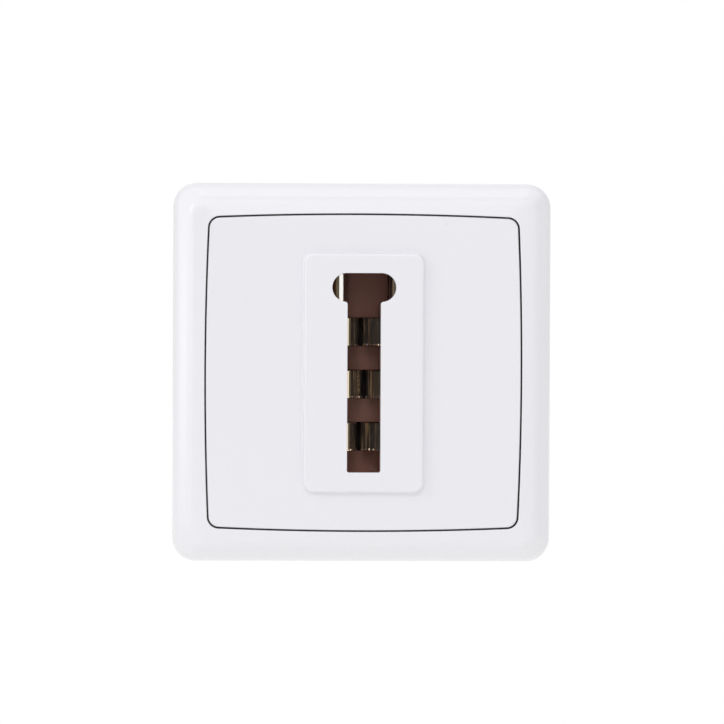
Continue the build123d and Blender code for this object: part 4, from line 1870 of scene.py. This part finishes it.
@dataclass
class Studio:
    """Pale floor, soft lamps, white surroundings and the camera, in metres and degrees."""

    floor_height: float = -0.115
    floor_size: float = 12.0
    floor_squares: int = 8
    floor_colour: Triple = (0.962, 0.961, 0.950)
    floor_fade: Flat = (0.10, 0.40)
    floor_glow: Flat = (0.55, 1.0)
    ambient: float = 0.746
    gloom_direction: Triple = (-0.342, -0.940, 0.0)
    gloom_angles: Flat = (19.0, 23.0)
    gloom_level: float = 0.32
    sky_direction: Triple = (-0.45, 0.0, 0.89)
    sky_range: Flat = (0.10, 0.38)
    sky_level: float = 2.1
    rear_direction: Triple = (0.0, 1.0, 0.0)
    rear_range: Flat = (0.2, 0.7)
    rear_level: float = 0.86
    lamps: tuple[Lamp, ...] = (
        Lamp(
            name="front_lamp",
            place=(-0.12, -1.00, 0.63),
            size=(0.55, 0.55),
            watts=2.15,
            colour=(0.96, 0.97, 1.10),
            mirrored=False,
        ),
        Lamp(name="left_lamp", place=(-0.86, -0.50, 0.47), size=(0.30, 0.44), watts=1.12),
        Lamp(name="edge_lamp", place=(-1.03, 0.205, -0.008), size=(0.06, 0.09), watts=0.034),
        Lamp(
            name="top_lamp",
            place=(0.0, 0.21, 1.03),
            size=(0.70, 0.10),
            watts=0.15,
            colour=(0.98, 0.98, 1.05),
        ),
        Lamp(
            name="back_lamp",
            place=(0.0, 0.75, 0.75),
            size=(0.60, 0.30),
            watts=3.00,
            mirrored=False,
        ),
    )
    camera_distance: float = 1.3
    camera_turn: float = -3.4
    camera_rise: float = 0.6
    camera_roll: float = 0.25
    target: Triple = (-0.00037, -0.0084, 0.00229)
    view_width: float = 0.15404
    sensor: float = 36.0

    def rays(self, writer: NodeWriter) -> tuple[Term, Term]:
        """1 for rays from the camera, and 1 for rays off a shiny or clear surface."""
        path = writer.node("ShaderNodeLightPath")
        return path["Is Camera Ray"], path["Is Glossy Ray"].at_least(path["Is Transmission Ray"])

    def patch(
        self, writer: NodeWriter, way: Term, direction: Triple, reach: Flat, level: float
    ) -> Term:
        """Level of the surroundings round one direction, 1 outside its reach.

        Args:
            writer: the world's node writer.
            way: the direction that a ray looks in.
            direction: the middle of the patch.
            reach: cosines at which the patch starts and is full.
            level: how bright the full patch is.

        Returns:
            The level seen along the ray.
        """
        settings = {"operation": "DOT_PRODUCT"}
        towards = writer.node("ShaderNodeVectorMath", settings, {0: way, 1: direction})["Value"]
        return writer.rise(towards, reach, (1.0, level))

    def surroundings(self) -> None:
        """White world for the camera and even light for the object.

        Shiny surfaces see it dim beside the camera, bright overhead and a little dim behind.
        """
        world = bpy.data.worlds.new("surroundings")
        bpy.context.scene.world = world
        writer = blank_writer(world)
        way = writer.place()
        inner, outer = (math.cos(math.radians(angle)) for angle in self.gloom_angles)
        shown = self.patch(writer, way, self.gloom_direction, (outer, inner), self.gloom_level)
        shown = shown * self.patch(writer, way, self.sky_direction, self.sky_range, self.sky_level)
        front = self.patch(writer, way, self.rear_direction, self.rear_range, 0.0)
        shown = self.rear_level + front * (shown - self.rear_level)
        camera, shiny = self.rays(writer)
        strength = self.ambient + camera * (1.0 - self.ambient) + shiny * (shown - self.ambient)
        light = {"Color": WHITE_LIGHT, "Strength": strength}
        sky = writer.node("ShaderNodeBackground", sockets=light)["Background"]
        writer.node("ShaderNodeOutputWorld", sockets={"Surface": sky})

    def floor(self) -> None:
        """Pale floor that keeps the object's shadow and turns white with distance."""
        shape = bmesh.new()
        squares = self.floor_squares
        bmesh.ops.create_grid(
            shape, x_segments=squares, y_segments=squares, size=self.floor_size / 2
        )
        mesh = bpy.data.meshes.new("floor")
        shape.to_mesh(mesh)
        shape.free()
        mesh.transform(Matrix.Translation((0.0, 0.0, self.floor_height)))
        floor = new_piece("floor", mesh)
        material = bpy.data.materials.new("pale_floor")
        writer = blank_writer(material)
        flat = {"Vector": writer.place(), "Scale": (1.0, 1.0, 0.0)}
        level = writer.node("ShaderNodeMapping", sockets=flat)["Vector"]
        away = writer.node("ShaderNodeVectorMath", {"operation": "LENGTH"}, {0: level})["Value"]
        fade = writer.rise(away, self.floor_fade, self.floor_glow)
        camera, shiny = self.rays(writer)
        matt = writer.node("ShaderNodeBsdfDiffuse", sockets={"Color": self.floor_colour})["BSDF"]
        light = {"Color": WHITE_LIGHT, "Strength": 1.0}
        glow = writer.node("ShaderNodeEmission", sockets=light)["Emission"]
        sockets = {0: fade * camera.at_least(shiny), 1: matt, 2: glow}
        mixed = writer.node("ShaderNodeMixShader", sockets=sockets)["Shader"]
        writer.node("ShaderNodeOutputMaterial", sockets={"Surface": mixed})
        mesh.materials.append(material)

    def camera(self) -> None:
        """Long lens a little left of the socket's axis and a hair out of level."""
        lens = bpy.data.cameras.new("camera")
        lens.sensor_width = self.sensor
        lens.lens = self.sensor * self.camera_distance / self.view_width
        lens.dof.use_dof = False
        camera = new_piece("camera", lens)
        turn = Matrix.Rotation(math.radians(self.camera_turn), 4, "Z")
        rise = Matrix.Rotation(math.radians(-self.camera_rise), 4, "X")
        back = Matrix.Translation((0.0, -self.camera_distance, 0.0))
        roll = Matrix.Rotation(math.radians(self.camera_roll), 4, "Z")
        aim = Matrix.Rotation(RIGHT_ANGLE, 4, "X") @ roll
        camera.matrix_world = Matrix.Translation(self.target) @ turn @ rise @ back @ aim
        bpy.context.scene.camera = camera

    def build(self) -> None:
        """Sets up the whole studio."""
        bpy.context.scene.view_settings.view_transform = "Standard"
        self.surroundings()
        self.floor()
        for lamp in self.lamps:
            lamp.build()
        self.camera()
        log.info("studio: floor, %d lamps and camera", len(self.lamps))


def main() -> None:
    """Builds the socket piece by piece, then the studio round it."""
    logging.basicConfig(level=logging.INFO, format="%(name)s %(message)s")
    white, brown, metal, zinc = WhiteMoulding(), BrownMoulding(), SpringMetal(), ZincPlate()
    springs = ContactSprings()
    terminals = [(side.value * springs.screw_x, row) for side in Side for row in springs.rows()]
    CoverFrame.fitted().build(white)
    CentrePlate.fitted(PlugSlot()).build(white)
    CarriedPiece("mounting_bridge", edge_width=0.15).build(zinc)
    CarriedPiece("connector_housing", edge_width=0.12).build(brown)
    CarriedPiece("terminal_block", edge_width=0.12).build(brown)
    TerminalNumbers(springs.rows()).build(brown)
    springs.build(metal)
    Screws(
        node="terminal_screws",
        points=terminals,
        seat=-15.2,
        facing=Facing.REAR,
        head_diameter=5.4,
        head_height=2.0,
        diameter=3.0,
        length=6.6,
        pitch=0.5,
        seed=3,
    ).build(zinc)
    Screws(
        node="bridge_screws",
        points=[(-17.5, 0.0), (17.5, 0.0)],
        seat=1.2,
        facing=Facing.ROOM,
        head_diameter=5.4,
        head_height=1.8,
        diameter=3.0,
        length=5.6,
        pitch=0.8,
        seed=5,
    ).build(zinc)
    Screws(
        node="block_screws",
        points=[(0.0, -23.6), (0.0, 23.6)],
        seat=-14.0,
        facing=Facing.REAR,
        head_diameter=4.6,
        head_height=1.6,
        diameter=2.5,
        length=10.0,
        pitch=0.8,
        seed=8,
    ).build(zinc)
    SquarePlates(
        node="clamp_washers",
        points=terminals,
        middle=-14.8,
        size=6.4,
        thickness=0.8,
        hole_diameter=3.4,
        edge_width=0.22,
    ).build(zinc)
    SquarePlates(
        node="terminal_nuts",
        points=terminals,
        middle=-10.7,
        size=5.5,
        thickness=1.8,
        hole_diameter=3.06,
        edge_width=0.2,
    ).build(zinc)
    Studio().build()


if __name__ == "__main__":
    main()
